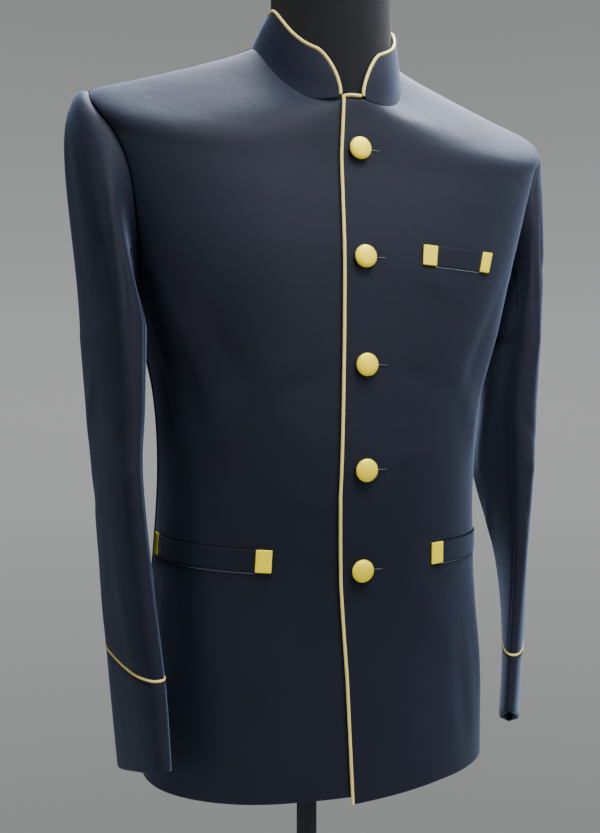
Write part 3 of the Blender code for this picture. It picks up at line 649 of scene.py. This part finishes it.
def sleeve(side, step, down):
    """A point of the plain sleeve. Down is 0 at the armhole, 1 below the head, 6 at the hem."""
    step, down = np.broadcast_arrays(np.asarray(step, float), np.asarray(down, float))
    edge = body(*armhole(step, side)) + HOLE_LIFT * outward(*armhole(step, side))
    inward = HOLE_MIDDLE[side] - edge
    inward /= np.linalg.norm(inward, axis=-1, keepdims=True)
    edge = edge + HOLE_GAP * inward
    arrive = sleeve_ring(side, step, np.zeros_like(step))
    share = step / HOLE_STEPS * 2 * np.pi
    up = np.cos(share)
    leave = np.stack(
        [
            side * np.ones_like(up),
            -0.30 * np.sin(share),
            0.25 * np.clip(up, 0, 1) - 0.10 * np.clip(up, -1, 0),
        ],
        -1,
    )
    leave /= np.linalg.norm(leave, axis=-1, keepdims=True)
    first = edge + leave * (HEAD_OUT + HEAD_REACH[side] * (1 + up) / 2)[..., None]
    climb = np.clip(0.38 * (edge - arrive)[..., 2], 0.002, 1)
    second = arrive + np.stack([0 * climb, 0 * climb, climb], -1)
    q = np.clip(down, 0, 1)[..., None]
    head = (
        edge * (1 - q) ** 3
        + first * 3 * q * (1 - q) ** 2
        + second * 3 * q**2 * (1 - q)
        + arrive * q**3
    )
    return np.where(down[..., None] < 1, head, sleeve_ring(side, step, np.clip(down - 1, 0, 5)))


def sleeve_outward(side, step, down):
    """The sleeve's outward normal."""
    around = sleeve(side, step + 0.05, down) - sleeve(side, step - 0.05, down)
    low = np.clip(np.asarray(down, float) + 0.02, 0.02, 6)
    along = sleeve(side, step, low) - sleeve(side, step, low - 0.04)
    normal = side * np.cross(around, along)
    return normal / np.clip(np.linalg.norm(normal, axis=-1, keepdims=True), 1e-9, None)


def worn_sleeve(side, step, down, lift=0.0):
    """A point of the sleeve with its folds and its roped head, this far off its face."""
    step, down = np.broadcast_arrays(np.asarray(step, float), np.asarray(down, float))
    plain = sleeve(side, step, down)
    table = [(a * SLEEVE_GIRTH, z, b * SLEEVE_GIRTH, w, s, h)
             for a, z, b, w, s, h in SLEEVE_FOLDS]
    turned_step = (step + 7) % HOLE_STEPS - 7
    rise = rise_of(table, turned_step * SLEEVE_GIRTH, plain[..., 2] - HEM_Z)
    edge = sleeve(side, step, 0 * down)
    away = np.linalg.norm(plain - edge, axis=-1)
    upper = np.clip(np.cos(turned_step / HOLE_STEPS * 2 * np.pi) + 0.35, 0, 1)
    rope = ROPE[0] * upper * np.exp(-(((away - ROPE[1]) / ROPE[2]) ** 2))
    rise = rise * np.clip((away - 0.004) / 0.03, 0, 1) + rope
    return plain + (rise + lift)[..., None] * sleeve_outward(side, step, down)


def cuff_seam(side, step):
    """How far down the sleeve the cuff's corded seam runs."""
    share = np.asarray(step, float) / HOLE_STEPS * 2 * np.pi
    lean = CUFF_WAVE * np.cos(2 * share) + CUFF_LEAN * np.sin(share)
    height = CUFF_SEAM_Z[side] - lean + HEM_Z
    low, high = 1.5 + 0 * share, 6.0 + 0 * share
    for _ in range(40):
        middle = (low + high) / 2
        above = sleeve(side, step, middle)[..., 2] > height
        low, high = np.where(above, middle, low), np.where(above, high, middle)
    return low


def further(side, step, down, distance):
    """The row that lies this far down the sleeve from another row."""
    along = sleeve(side, step, down + 0.02) - sleeve(side, step, down - 0.02)
    return down + distance * 0.04 / np.linalg.norm(along, axis=-1)


def sleeve_cut(name, side, first, last, node, flat, area):
    """One cut of a sleeve between two steps, from the armhole to the cuff's cord."""
    fine = np.linspace(first, last, 4 * (last - first) + 1)
    fine = np.sort(np.concatenate([fine, [first + 0.04, first + 0.12, last - 0.04, last - 0.12]]))
    around = sleeve(side, fine + 0.01, 3.0) - sleeve(side, fine - 0.01, 3.0)
    pace = np.linalg.norm(around, axis=-1) / 0.02
    fine = fine + SEAM / pace * ((fine == first) * 1.0 - (fine == last) * 1.0)
    end = further(side, fine, cuff_seam(side, fine), -CUFF_CORD - CORD_ROOM)
    head = np.array([0, 0.01, 0.03, *np.linspace(0.06, 1, 30)])
    rows = [head + 0 * end[:, None], 1 + (end[:, None] - 1) * np.linspace(0, 1, 91)[1:]]
    down = np.concatenate(rows, 1)
    step = fine[:, None] + 0 * down
    points = worn_sleeve(side, step, down)
    normal = sleeve_outward(side, step, down)
    points = tuck(points, normal, ["left", "right", "bottom"])
    sewn(name, points, side, node, FRONT[side], flat=flat, area=area, held="hung")


for side, word in SIDES:
    sleeve_cut("sleeve_outer_" + word, side, BACK_SEAM - HOLE_STEPS, FRONT_SEAM,
               "sleeve_top_" + word, (0.25, 0.56), 0.095)
    sleeve_cut("sleeve_inner_" + word, side, FRONT_SEAM, BACK_SEAM,
               "sleeve_under_" + word, (0.17, 0.45), 0.055)

# The cuffs: a turned band of the same suiting below each corded seam, pressed flat,
# with its edge folded in at the hem.


def cuff(side, word):
    """A cuff's band, from just below its cord to the hem."""
    step = np.linspace(0, HOLE_STEPS, 97)[:, None]
    seam = cuff_seam(side, step[:, 0])
    start = further(side, step[:, 0], seam, CUFF_CORD + CORD_ROOM)[:, None]
    down = start + (6.0 - start) * np.array([0, 0.01, 0.03, *np.linspace(0.06, 0.97, 24), 1])
    step = step + 0 * down
    points = worn_sleeve(side, step, down)
    points = tuck(points, sleeve_outward(side, step, down), ["bottom", "top"], 0.0005)
    points[-1] = points[0]
    sewn("cuff_band_" + word, points, side, "cuff_" + word, "cuff_piping_" + word, closed=True,
         flat=(0.30, 0.085), area=0.0255, held="hung")


for side, word in SIDES:
    cuff(side, word)

# The piping. Round cotton cord covered in pale gold satin cut on the bias, sewn into
# the cuff seams, down the lapping front and round the collar. The satin is smooth and
# shines along its length, and its bias shows as fine diagonal lines, drawn 1.1 mm apart.
piping, tree, shader = finish("gold_satin_piping", "cdb862", 0.5, specular_ior_level=0.25)
bias = pattern(
    tree, "ShaderNodeTexWave", "UV", {"Scale": 420, "Distortion": 1.0, "Detail": 1},
    bands_direction="DIAGONAL",
)
relief(tree, shader, bias, 0.00008, 0.6)
two_tone(tree, shader, bias, "bda650", "e2cf7c")


def round_cord(path, radius, closed=False, sides=14):
    """Points round a cord that follows a path, carried along without a twist."""
    path = np.asarray(path, float)
    if closed:
        pace = np.roll(path, -1, 0) - np.roll(path, 1, 0)
    else:
        pace = np.gradient(path, axis=0)
    pace /= np.linalg.norm(pace, axis=-1, keepdims=True)
    across = [np.cross(pace[0], [0.3, 0.5, 0.8])]
    for ahead in pace[1:]:
        across.append(across[-1] - ahead * np.dot(across[-1], ahead))
        across[-1] /= np.linalg.norm(across[-1])
    across = np.array(across)
    across[0] /= np.linalg.norm(across[0])
    beside = np.cross(pace, across)
    turn = np.linspace(0, 2 * np.pi, sides + 1)
    if closed:
        left_over = math.atan2(np.dot(across[0], beside[-1]), np.dot(across[0], across[-1]))
        path, across, beside = (np.concatenate([a, a[:1]]) for a in (path, across, beside))
        across[-1] = across[-2]
        beside[-1] = beside[-2]
        spin = np.linspace(0, left_over, len(path))
    else:
        spin = np.zeros(len(path))
    angle = turn[:, None] + spin[None]
    return path[None] + radius * (
        np.cos(angle)[..., None] * across[None] + np.sin(angle)[..., None] * beside[None]
    )


def cord_piece(name, path, radius, nodes, closed=False, material=piping):
    """A cord along a path, with its ends closed or joined."""
    mesh = woven(name, round_cord(path, radius, closed), closed=True, caps=not closed)
    keep(mesh, name, material, nodes)


def cuff_cord_path(side):
    """The cuff's seam, a little below the face of the cloth."""
    step = np.linspace(0, HOLE_STEPS, 96, endpoint=False)
    return worn_sleeve(side, step, cuff_seam(side, step), -0.4 * CLOTH)


for side, word in SIDES:
    cord_piece("cuff_piping_" + word, cuff_cord_path(side), CUFF_CORD, ["cuff_cord_" + word],
               closed=True)

# The stand collar: two layers over a stiff interlining, leaning in to the neck, with
# its front corners rounded and its ends meeting above the front edge. Its foot is
# pressed outward over the neckline's seam, so no line shows there.
NECK_HALF = RINGS[-1][3]
COLLAR_FROM = math.asin(0.0088 / NECK_HALF)
COLLAR_TO = 2 * math.pi - math.asin(0.0187 / NECK_HALF)
COLLAR_PACE = 0.09  # metres of collar to one radian
COLLAR_TALL = 0.0405
COLLAR_FULL = (0.004, 0.010)  # taller beside the front, at the right and the left
COLLAR_DIP = (0.0115, 0.0165)  # lower over the shoulders, at the right and the left
COLLAR_CORNER = 0.034
COLLAR_ROUND = 1.75
COLLAR_END = 0.0010
COLLAR_CLOTH = 0.0022
COLLAR_SINK = 0.0012
COLLAR_FLARE = 0.0030
COLLAR_FOOT = 0.16  # share of its height over which the foot flares
COLLAR_BOW = 0.0012
COLLAR_HALF = 0.0653
COLLAR_Y = -0.0230


def from_end(angle):
    """Distance along the collar from its nearer end."""
    return np.minimum(angle - COLLAR_FROM, COLLAR_TO - angle) * COLLAR_PACE


def collar(angle, share):
    """Outer face of the collar by angle and share of its full height."""
    angle = np.asarray(angle, float)
    base = body(angle, TOP + 0 * angle)
    sine = np.sin(angle)
    cosine = np.cos(angle)
    ahead = np.clip(cosine, 0, 1)
    tall = COLLAR_TALL + np.where(sine > 0, *COLLAR_FULL[::-1]) * ahead * np.sin(2 * angle) ** 2
    tall = tall - np.where(sine > 0, *COLLAR_DIP[::-1]) * sine**6
    y = COLLAR_Y - COLLAR_HALF * cosine + BACK_Y
    top = np.stack([COLLAR_HALF * sine, y, base[..., 2] + tall], -1)
    share = np.asarray(share, float)[..., None]
    ends = np.clip(from_end(angle) / COLLAR_CORNER, 0, 1)[..., None]
    flare = COLLAR_FLARE * ends * np.exp(-np.clip(share, 0, 1) / COLLAR_FOOT)
    slope = 0.5 + 1.2 * ahead[..., None]
    bow = COLLAR_BOW * np.sin(np.pi * np.clip(share, 0, 1)) + flare
    out = (base - [0, COLLAR_Y + BACK_Y, 0]) * [1, 1, 0]
    out = out / np.linalg.norm(out, axis=-1, keepdims=True)
    drop = COLLAR_SINK * ends + slope * flare
    return base + (top - base) * share + bow * out - drop * [0, 0, 1]


def collar_rise(angle):
    """Share of its height that the collar reaches, less at its round corners."""
    short = 1 - np.clip((from_end(angle) + COLLAR_END) / COLLAR_CORNER, 0, 1)
    return (1 - short**COLLAR_ROUND) ** (1 / COLLAR_ROUND)


def collar_angles():
    """Angles along the collar, close together at its round corners."""
    turn = COLLAR_CORNER / COLLAR_PACE
    near = turn * np.linspace(0, 1, 24)[:-1] ** 1.8
    rest = np.linspace(COLLAR_FROM + turn, COLLAR_TO - turn, 130)
    return np.concatenate([COLLAR_FROM + near, rest, (COLLAR_TO - near)[::-1]])


def collar_inward(angle, share):
    """The collar's normal, toward the neck."""
    around = collar(angle + 0.01, share) - collar(angle - 0.01, share)
    upward = collar(angle, share + 0.02) - collar(angle, share - 0.02)
    normal = np.cross(upward, around)
    return normal / np.linalg.norm(normal, axis=-1, keepdims=True)


angles = collar_angles()
shares = collar_rise(angles)[:, None] * np.linspace(0, 1, 19)[None]
band = keep(woven("collar_band", collar(angles[:, None] + 0 * shares, shares)), "collar_band",
            suiting, ["collar"])
wall(band, COLLAR_CLOTH)

# The collar's piping runs along its top and down both corners, and the front's runs up
# the lapping edge and along the short step of the neckline to the collar's end.
CORD = 0.0016
OFF = CORD + CORD_ROOM


def collar_cord_path():
    """Along the collar's edge, its ends sunk 1 mm into the front's cord."""
    angle = collar_angles()
    rise = collar_rise(angle)
    edge = collar(angle, rise) + 0.4 * COLLAR_CLOTH * collar_inward(angle, rise)
    along = np.gradient(edge, axis=0)
    along[0] = (0, 0, 1)
    along[-1] = (0, 0, -1)
    across = np.cross(collar_inward(angle, 0 * angle + 0.9), along)
    path = edge - OFF * across / np.linalg.norm(across, axis=-1, keepdims=True)
    first, last = path[0].copy(), path[-1].copy()
    first[2] = last[2] = body(0.0, TOP)[2] + 2 * OFF - 0.0010
    return np.concatenate([[first], path, [last]])


def front_cord_path():
    """Up the lapping edge, round the corner and along the short step of the neckline."""
    rings = np.concatenate([np.linspace(0, ARMPIT, 70), np.linspace(ARMPIT, TOP, 50)[1:]])
    angle, ring = middle_edge("lap", rings).T
    normal = outward(angle, ring)
    at = front_lie(worn_body(angle, ring)[None], normal[None], None, 1)[0]
    path = at + [-OFF, 0, 0] - 0.2 * CLOTH * normal
    path[-1][2] -= 0.0016
    across = np.linspace(angle[-1], math.asin(0.0035 / NECK_HALF), 4)
    rim = body(across, TOP + 0 * across) + [0, 0, OFF + CORD_ROOM]
    corner = path[-1] + [0.0002, 0, 0.0028]
    return np.concatenate([path, [corner], rim[1:]])


for name, path, count in (("collar", collar_cord_path(), 520), ("front", front_cord_path(), 420)):
    path = spline(path, np.linspace(0, len(path) - 1, count))
    cord_piece(name + "_piping", path, CORD, [name + "_cord"])

# The pockets. Each is a narrow welt of the suiting, open along its top, with a gold
# satin tab sewn over each end.
POCKETS = {
    # side, ends in degrees, lower and upper ring at the first end, climb to the second
    "chest": (1, 16.6, 38.2, 5.91, 6.26, -0.075),
    "lower_right": (-1, 28.8, 91.0, 2.13, 2.335, 0.07),
    "lower_left": (1, 26.2, 88.0, 2.13, 2.335, 0.06),
}
TAB_WIDE = 0.0150
TAB_FLAT = (0.0145, 0.0195)
TAB_CLOTH = 0.0019
WELT_CLOTH = 0.0007
PATCH_LIFT = 0.0005
MOUTH_SHADE_SHEET = 0.0003
MOUTH = {"chest": 0.020, "lower_right": 0.010, "lower_left": 0.010}  # in rings
STITCH = 0.003
STITCH_DROP = 0.012  # below the welt's lower edge, in rings

# Gold satin: a long-float weave of rayon, bright yellow gold, with its floats drawn
# 0.9 mm apart so that they show as fine upright lines.
satin, tree, shader = finish("gold_satin_tab", "ecc82c", 0.6, specular_ior_level=0.12)
floats = pattern(tree, "ShaderNodeTexWave", "UV", {"Scale": 350, "Distortion": 1.5, "Detail": 2})
relief(tree, shader, floats, 0.00008, 0.6)
two_tone(tree, shader, floats, "d8ba06", "f4e01e")


def patch(name, side, ends, low, high, lift, thick, grid, material, nodes=()):
    """A flat piece laid on the front between two angles. Lift is its gap below and above."""
    share = np.linspace(0, 1, grid[0] + 1)[:, None]
    rise = np.linspace(0, 1, grid[1] + 1)[None]
    angle = side * np.radians(ends[0] + (ends[1] - ends[0]) * share) + 0 * rise
    bottom = low[0] + (low[1] - low[0]) * share
    top = high[0] + (high[1] - high[0]) * share
    ring = bottom + (top - bottom) * rise
    points = worn_body(angle, ring, lift[0] + (lift[1] - lift[0]) * rise + thick + 0 * share)
    made = keep(woven(name, points, turn_over=side < 0), name, material, nodes)
    wall(made, thick, rounding=0.0006)


# The pockets' mouths are a thin strip of dull black sheet laid above each welt, which is painted
# shade for the shadow in the welt's open top. A row of stitches holds each welt's lower edge, in
# slate thread whose pale colour is a painted highlight: the fine pale line of light along that
# edge. Its stitches are 3 mm long. They are drawn twice as thick as they are, and four times at
# the chest.
mouth_shade = finish("painted_mouth_shade", "08090d", 0.7, specular_ior_level=0.15)[0]
thread_and_highlight = finish("slate_thread_and_highlight", "858a94", 0.6)[0]


def row_of_thread(name, side, ends, rings, radius):
    """A fine row of machine stitches laid on the front, each a short raised bar."""
    count = max(4, int(abs(math.radians(ends[1] - ends[0])) * GIRTH / STITCH))
    share = (np.arange(count)[:, None] + np.array([0.08, 0.86])) / count
    angle = side * np.radians(ends[0] + (ends[1] - ends[0]) * share)
    ring = rings[0] + (rings[1] - rings[0]) * share
    at = worn_body(angle, ring, 0.00025 + 0 * ring)
    bm = bmesh.new()
    for first, last in at:
        span = Vector(last - first)
        turn = span.to_track_quat("Z", "Y").to_matrix().to_4x4()
        turn.translation = Vector((first + last) / 2)
        bmesh.ops.create_cone(
            bm, cap_ends=True, segments=6, radius1=radius, radius2=radius,
            depth=span.length, matrix=turn,
        )
    mesh = bpy.data.meshes.new(name)
    bm.to_mesh(mesh)
    bm.free()
    keep(mesh, name, thread_and_highlight)


for name, (side, start, end, low, high, climb) in POCKETS.items():
    small = name == "chest"
    columns = 20 if small else 40
    middle_ring = (low + high) / 2
    first_tab = math.degrees(angle_shift(math.radians(start), middle_ring, TAB_WIDE))
    last_tab = math.degrees(angle_shift(math.radians(end), middle_ring, TAB_WIDE * 0.85))
    gap = math.degrees(angle_shift(math.radians(start), middle_ring, 0.0004))
    tab_end, tab_start = start + first_tab, end - last_tab
    welt = [tab_end + gap, tab_start - gap]

    def line(base, angles):
        """Rings at these angles of a line that climbs along the pocket."""
        return [base + climb * (a - start) / (end - start) for a in angles]

    def cut(part, ends, lift, thick, columns, material, slot, flat):
        """A tab or the welt, its upper edge this much further off the front."""
        patch(
            name + "_" + part + "_cloth", side, ends, line(low, ends), line(high, ends),
            (PATCH_LIFT, PATCH_LIFT + lift), thick, (columns, 10), material,
            [name + "_" + part],
        )

    cut("tab_front", [start, tab_end], 0, TAB_CLOTH, 8, satin, "gold_tab_cloth", TAB_FLAT)
    # The mouth strip is painted shade: a dark sheet where the welt's open top lies in shadow.
    mouth = line(high, welt)
    patch(name + "_mouth", side, welt, mouth, [r + MOUTH[name] for r in mouth],
          (0.0001, 0.0001), MOUTH_SHADE_SHEET, (columns, 2), mouth_shade)
    # These stitches are real, and their pale colour is a painted highlight along the welt's lower
    # edge.
    ends = (tab_end, tab_start)
    row_of_thread(name + "_stitches", side, ends, [r - STITCH_DROP for r in line(low, ends)],
                  0.0004 if small else 0.0002)
    cut("welt", welt, WELT_CLOTH, WELT_CLOTH, columns, suiting, "midnight_suiting",
        (0.055 if small else 0.165, 0.0195))
    cut("tab_rear", [tab_start, end], 0, TAB_CLOTH, 8, satin, "gold_tab_cloth", TAB_FLAT)

# The buttons: pressed brass, gilt and lacquered, a plain low dome with a round edge and
# a shank below. Each stands a little off the cloth on its shank.
BUTTON_Z = (0.607, 0.504, 0.404, 0.307, 0.213)
BUTTON_GAP = 0.0004
BUTTON = (
    # radius, height
    (0.0000, 0.0000), (0.0028, 0.0000), (0.0028, 0.0016), (0.0088, 0.0017),
    (0.0101, 0.0021), (0.0107, 0.0029), (0.0108, 0.0037), (0.0105, 0.0045),
    (0.0098, 0.0052), (0.0086, 0.0058), (0.0068, 0.0063), (0.0046, 0.0067),
    (0.0022, 0.0069), (0.0000, 0.0069),
)

# Gilt brass under a matt lacquer: bright lemon yellow with a broad soft highlight, and
# a fine uneven grain about 1 mm across.
gilt, tree, shader = finish("gilt_brass", "ecc82c", 0.42, metallic=0.3, specular_ior_level=0.25)
wear = pattern(tree, "ShaderNodeTexNoise", "Object", {"Scale": 900, "Detail": 4})
relief(tree, shader, wear, 0.00005, 0.5)
rub = add(tree, "ShaderNodeMapRange", {"Value": wear, "To Min": 0.42, "To Max": 0.58})
tree.links.new(rub.outputs[0], shader.inputs["Roughness"])
two_tone(tree, shader, wear, "dcbc08", "f8e628")


def ring_at(angle, z):
    """The ring number at this height on the body at one angle."""
    low, high = 0.0, float(TOP)
    for _ in range(40):
        middle = (low + high) / 2
        low, high = (middle, high) if body(angle, middle)[2] < z + HEM_Z else (low, middle)
    return low


def on_front(x, z):
    """Angle and ring of the point of the front with this x and height above the hem."""
    angle = x / GIRTH
    ring = 3.0
    for _ in range(30):
        ring = ring_at(angle, z)
        here = body(angle, ring)[0]
        angle = angle + (x - here) * 0.01 / (body(angle + 0.01, ring)[0] - here)
    return angle, ring


for number, z in enumerate(BUTTON_Z, 1):
    name = "button_dome_%d" % number
    mesh = turned(name, BUTTON, 48, crease=70)
    angle, ring = on_front(0.0, z)
    normal = Vector(outward(angle, ring))
    turn = normal.to_track_quat("Z", "Y").to_matrix().to_4x4()
    turn.translation = Vector(worn_body(np.array(angle), np.array(ring), BUTTON_GAP))
    mesh.transform(turn)
    keep(mesh, name, gilt, ["button_%d" % number])

# Worked buttonholes: a slit in the lapping front, oversewn with thick navy twist. The
# button covers its inner end, and the outer one shows beyond the rim as a dull dark bar.
HOLE_X = (0.0075, 0.0215)
TWIST = 0.0006
twist = finish("navy_buttonhole_twist", "262a36", 0.55)[0]
for number, z in enumerate(BUTTON_Z, 1):
    ends = [on_front(x, z) for x in np.linspace(*HOLE_X, 12)]
    path = [worn_body(np.array(angle), np.array(ring), 0.0001) for angle, ring in ends]
    cord_piece("buttonhole_%d" % number, path, TWIST, (), material=twist)

# The studio: a plain pale floor, one broad soft light high behind the wearer's left shoulder, a
# steep one and a low one in front, a weak one at each side, and a grey backdrop that lights the
# coat less than it shows. As seen, the backdrop is painted lighter towards the horizon and darker
# above and below, which is a painted falloff of light.
FLOOR_RADIUS = 1.25
PHOTO_TALL = 833  # pixels
FOCAL = 919.03  # pixels
SENSOR = 36
VIEW_TURN = math.radians(19.32)
bm = bmesh.new()
bmesh.ops.create_circle(bm, cap_ends=True, radius=FLOOR_RADIUS, segments=96)
mesh = bpy.data.meshes.new("floor")
bm.to_mesh(mesh)
bm.free()
floor = bpy.data.objects.new("floor", mesh)
bpy.context.collection.objects.link(floor)
paper, tree, shader = finish("seamless_paper", "b4b5b4", 0.9)
mesh.materials.append(paper)

world = bpy.data.worlds.new("studio")
bpy.context.scene.world = world
world.use_nodes = True
tree = world.node_tree
sky = tree.nodes["Background"]
seen = add(tree, "ShaderNodeTexCoord").outputs["Generated"]
high = add(tree, "ShaderNodeSeparateXYZ", {"Vector": seen}).outputs["Z"]
apart = add(tree, "ShaderNodeMath", {0: high}, operation="ABSOLUTE")
fall = add(tree, "ShaderNodeMapRange", {"Value": apart.outputs[0], "From Max": 0.42},
           interpolation_type="SMOOTHSTEP")
# Painted falloff of light on the backdrop: lighter towards the horizon, darker above and below.
painted_backdrop_falloff = blend(tree, fall.outputs[0], linear("aaacab"), linear("8f9191"))
shown = add(tree, "ShaderNodeLightPath").outputs["Is Camera Ray"]
tree.links.new(blend(tree, shown, linear("484b50"), painted_backdrop_falloff), sky.inputs["Color"])


def softbox(name, at, aim, size, power, colour="ffffff"):
    """A soft light of this size in metres and power in watts, aimed at a point."""
    light = bpy.data.lights.new(name, "AREA")
    light.shape = "RECTANGLE"
    light.size, light.size_y = size
    light.energy = power
    light.color = linear(colour)[:3]
    made = bpy.data.objects.new(name, light)
    bpy.context.collection.objects.link(made)
    made.location = at
    made.rotation_euler = (Vector(aim) - Vector(at)).to_track_quat("-Z", "Y").to_euler()


softbox("overhead", (0.60, 0.64, 2.95), (-0.05, -0.05, 1.4), (1.4, 1.4), 205, "eef3ff")
softbox("high_front", (0.25, -0.95, 2.75), (0.05, 0.0, 1.4), (1.2, 0.9), 84, "eef3ff")
softbox("front", (0.9, -2.4, 1.9), (0.0, 0.0, 1.2), (1.5, 1.5), 34)
softbox("near", (-2.3, -1.7, 1.5), (-0.1, 0.0, 1.2), (1.4, 1.8), 38)
softbox("far", (2.2, -0.7, 1.7), (0.2, 0.0, 1.2), (0.8, 1.4), 9)

camera = bpy.data.objects.new("camera", bpy.data.cameras.new("camera"))
bpy.context.collection.objects.link(camera)
camera.location = (-0.3376, -0.9414, 1.1563)
camera.rotation_euler = (math.pi / 2, 0, -VIEW_TURN)
camera.data.sensor_fit = "VERTICAL"
camera.data.sensor_height = SENSOR
camera.data.lens = FOCAL / PHOTO_TALL * SENSOR
camera.data.clip_start = 0.02
bpy.context.scene.camera = camera
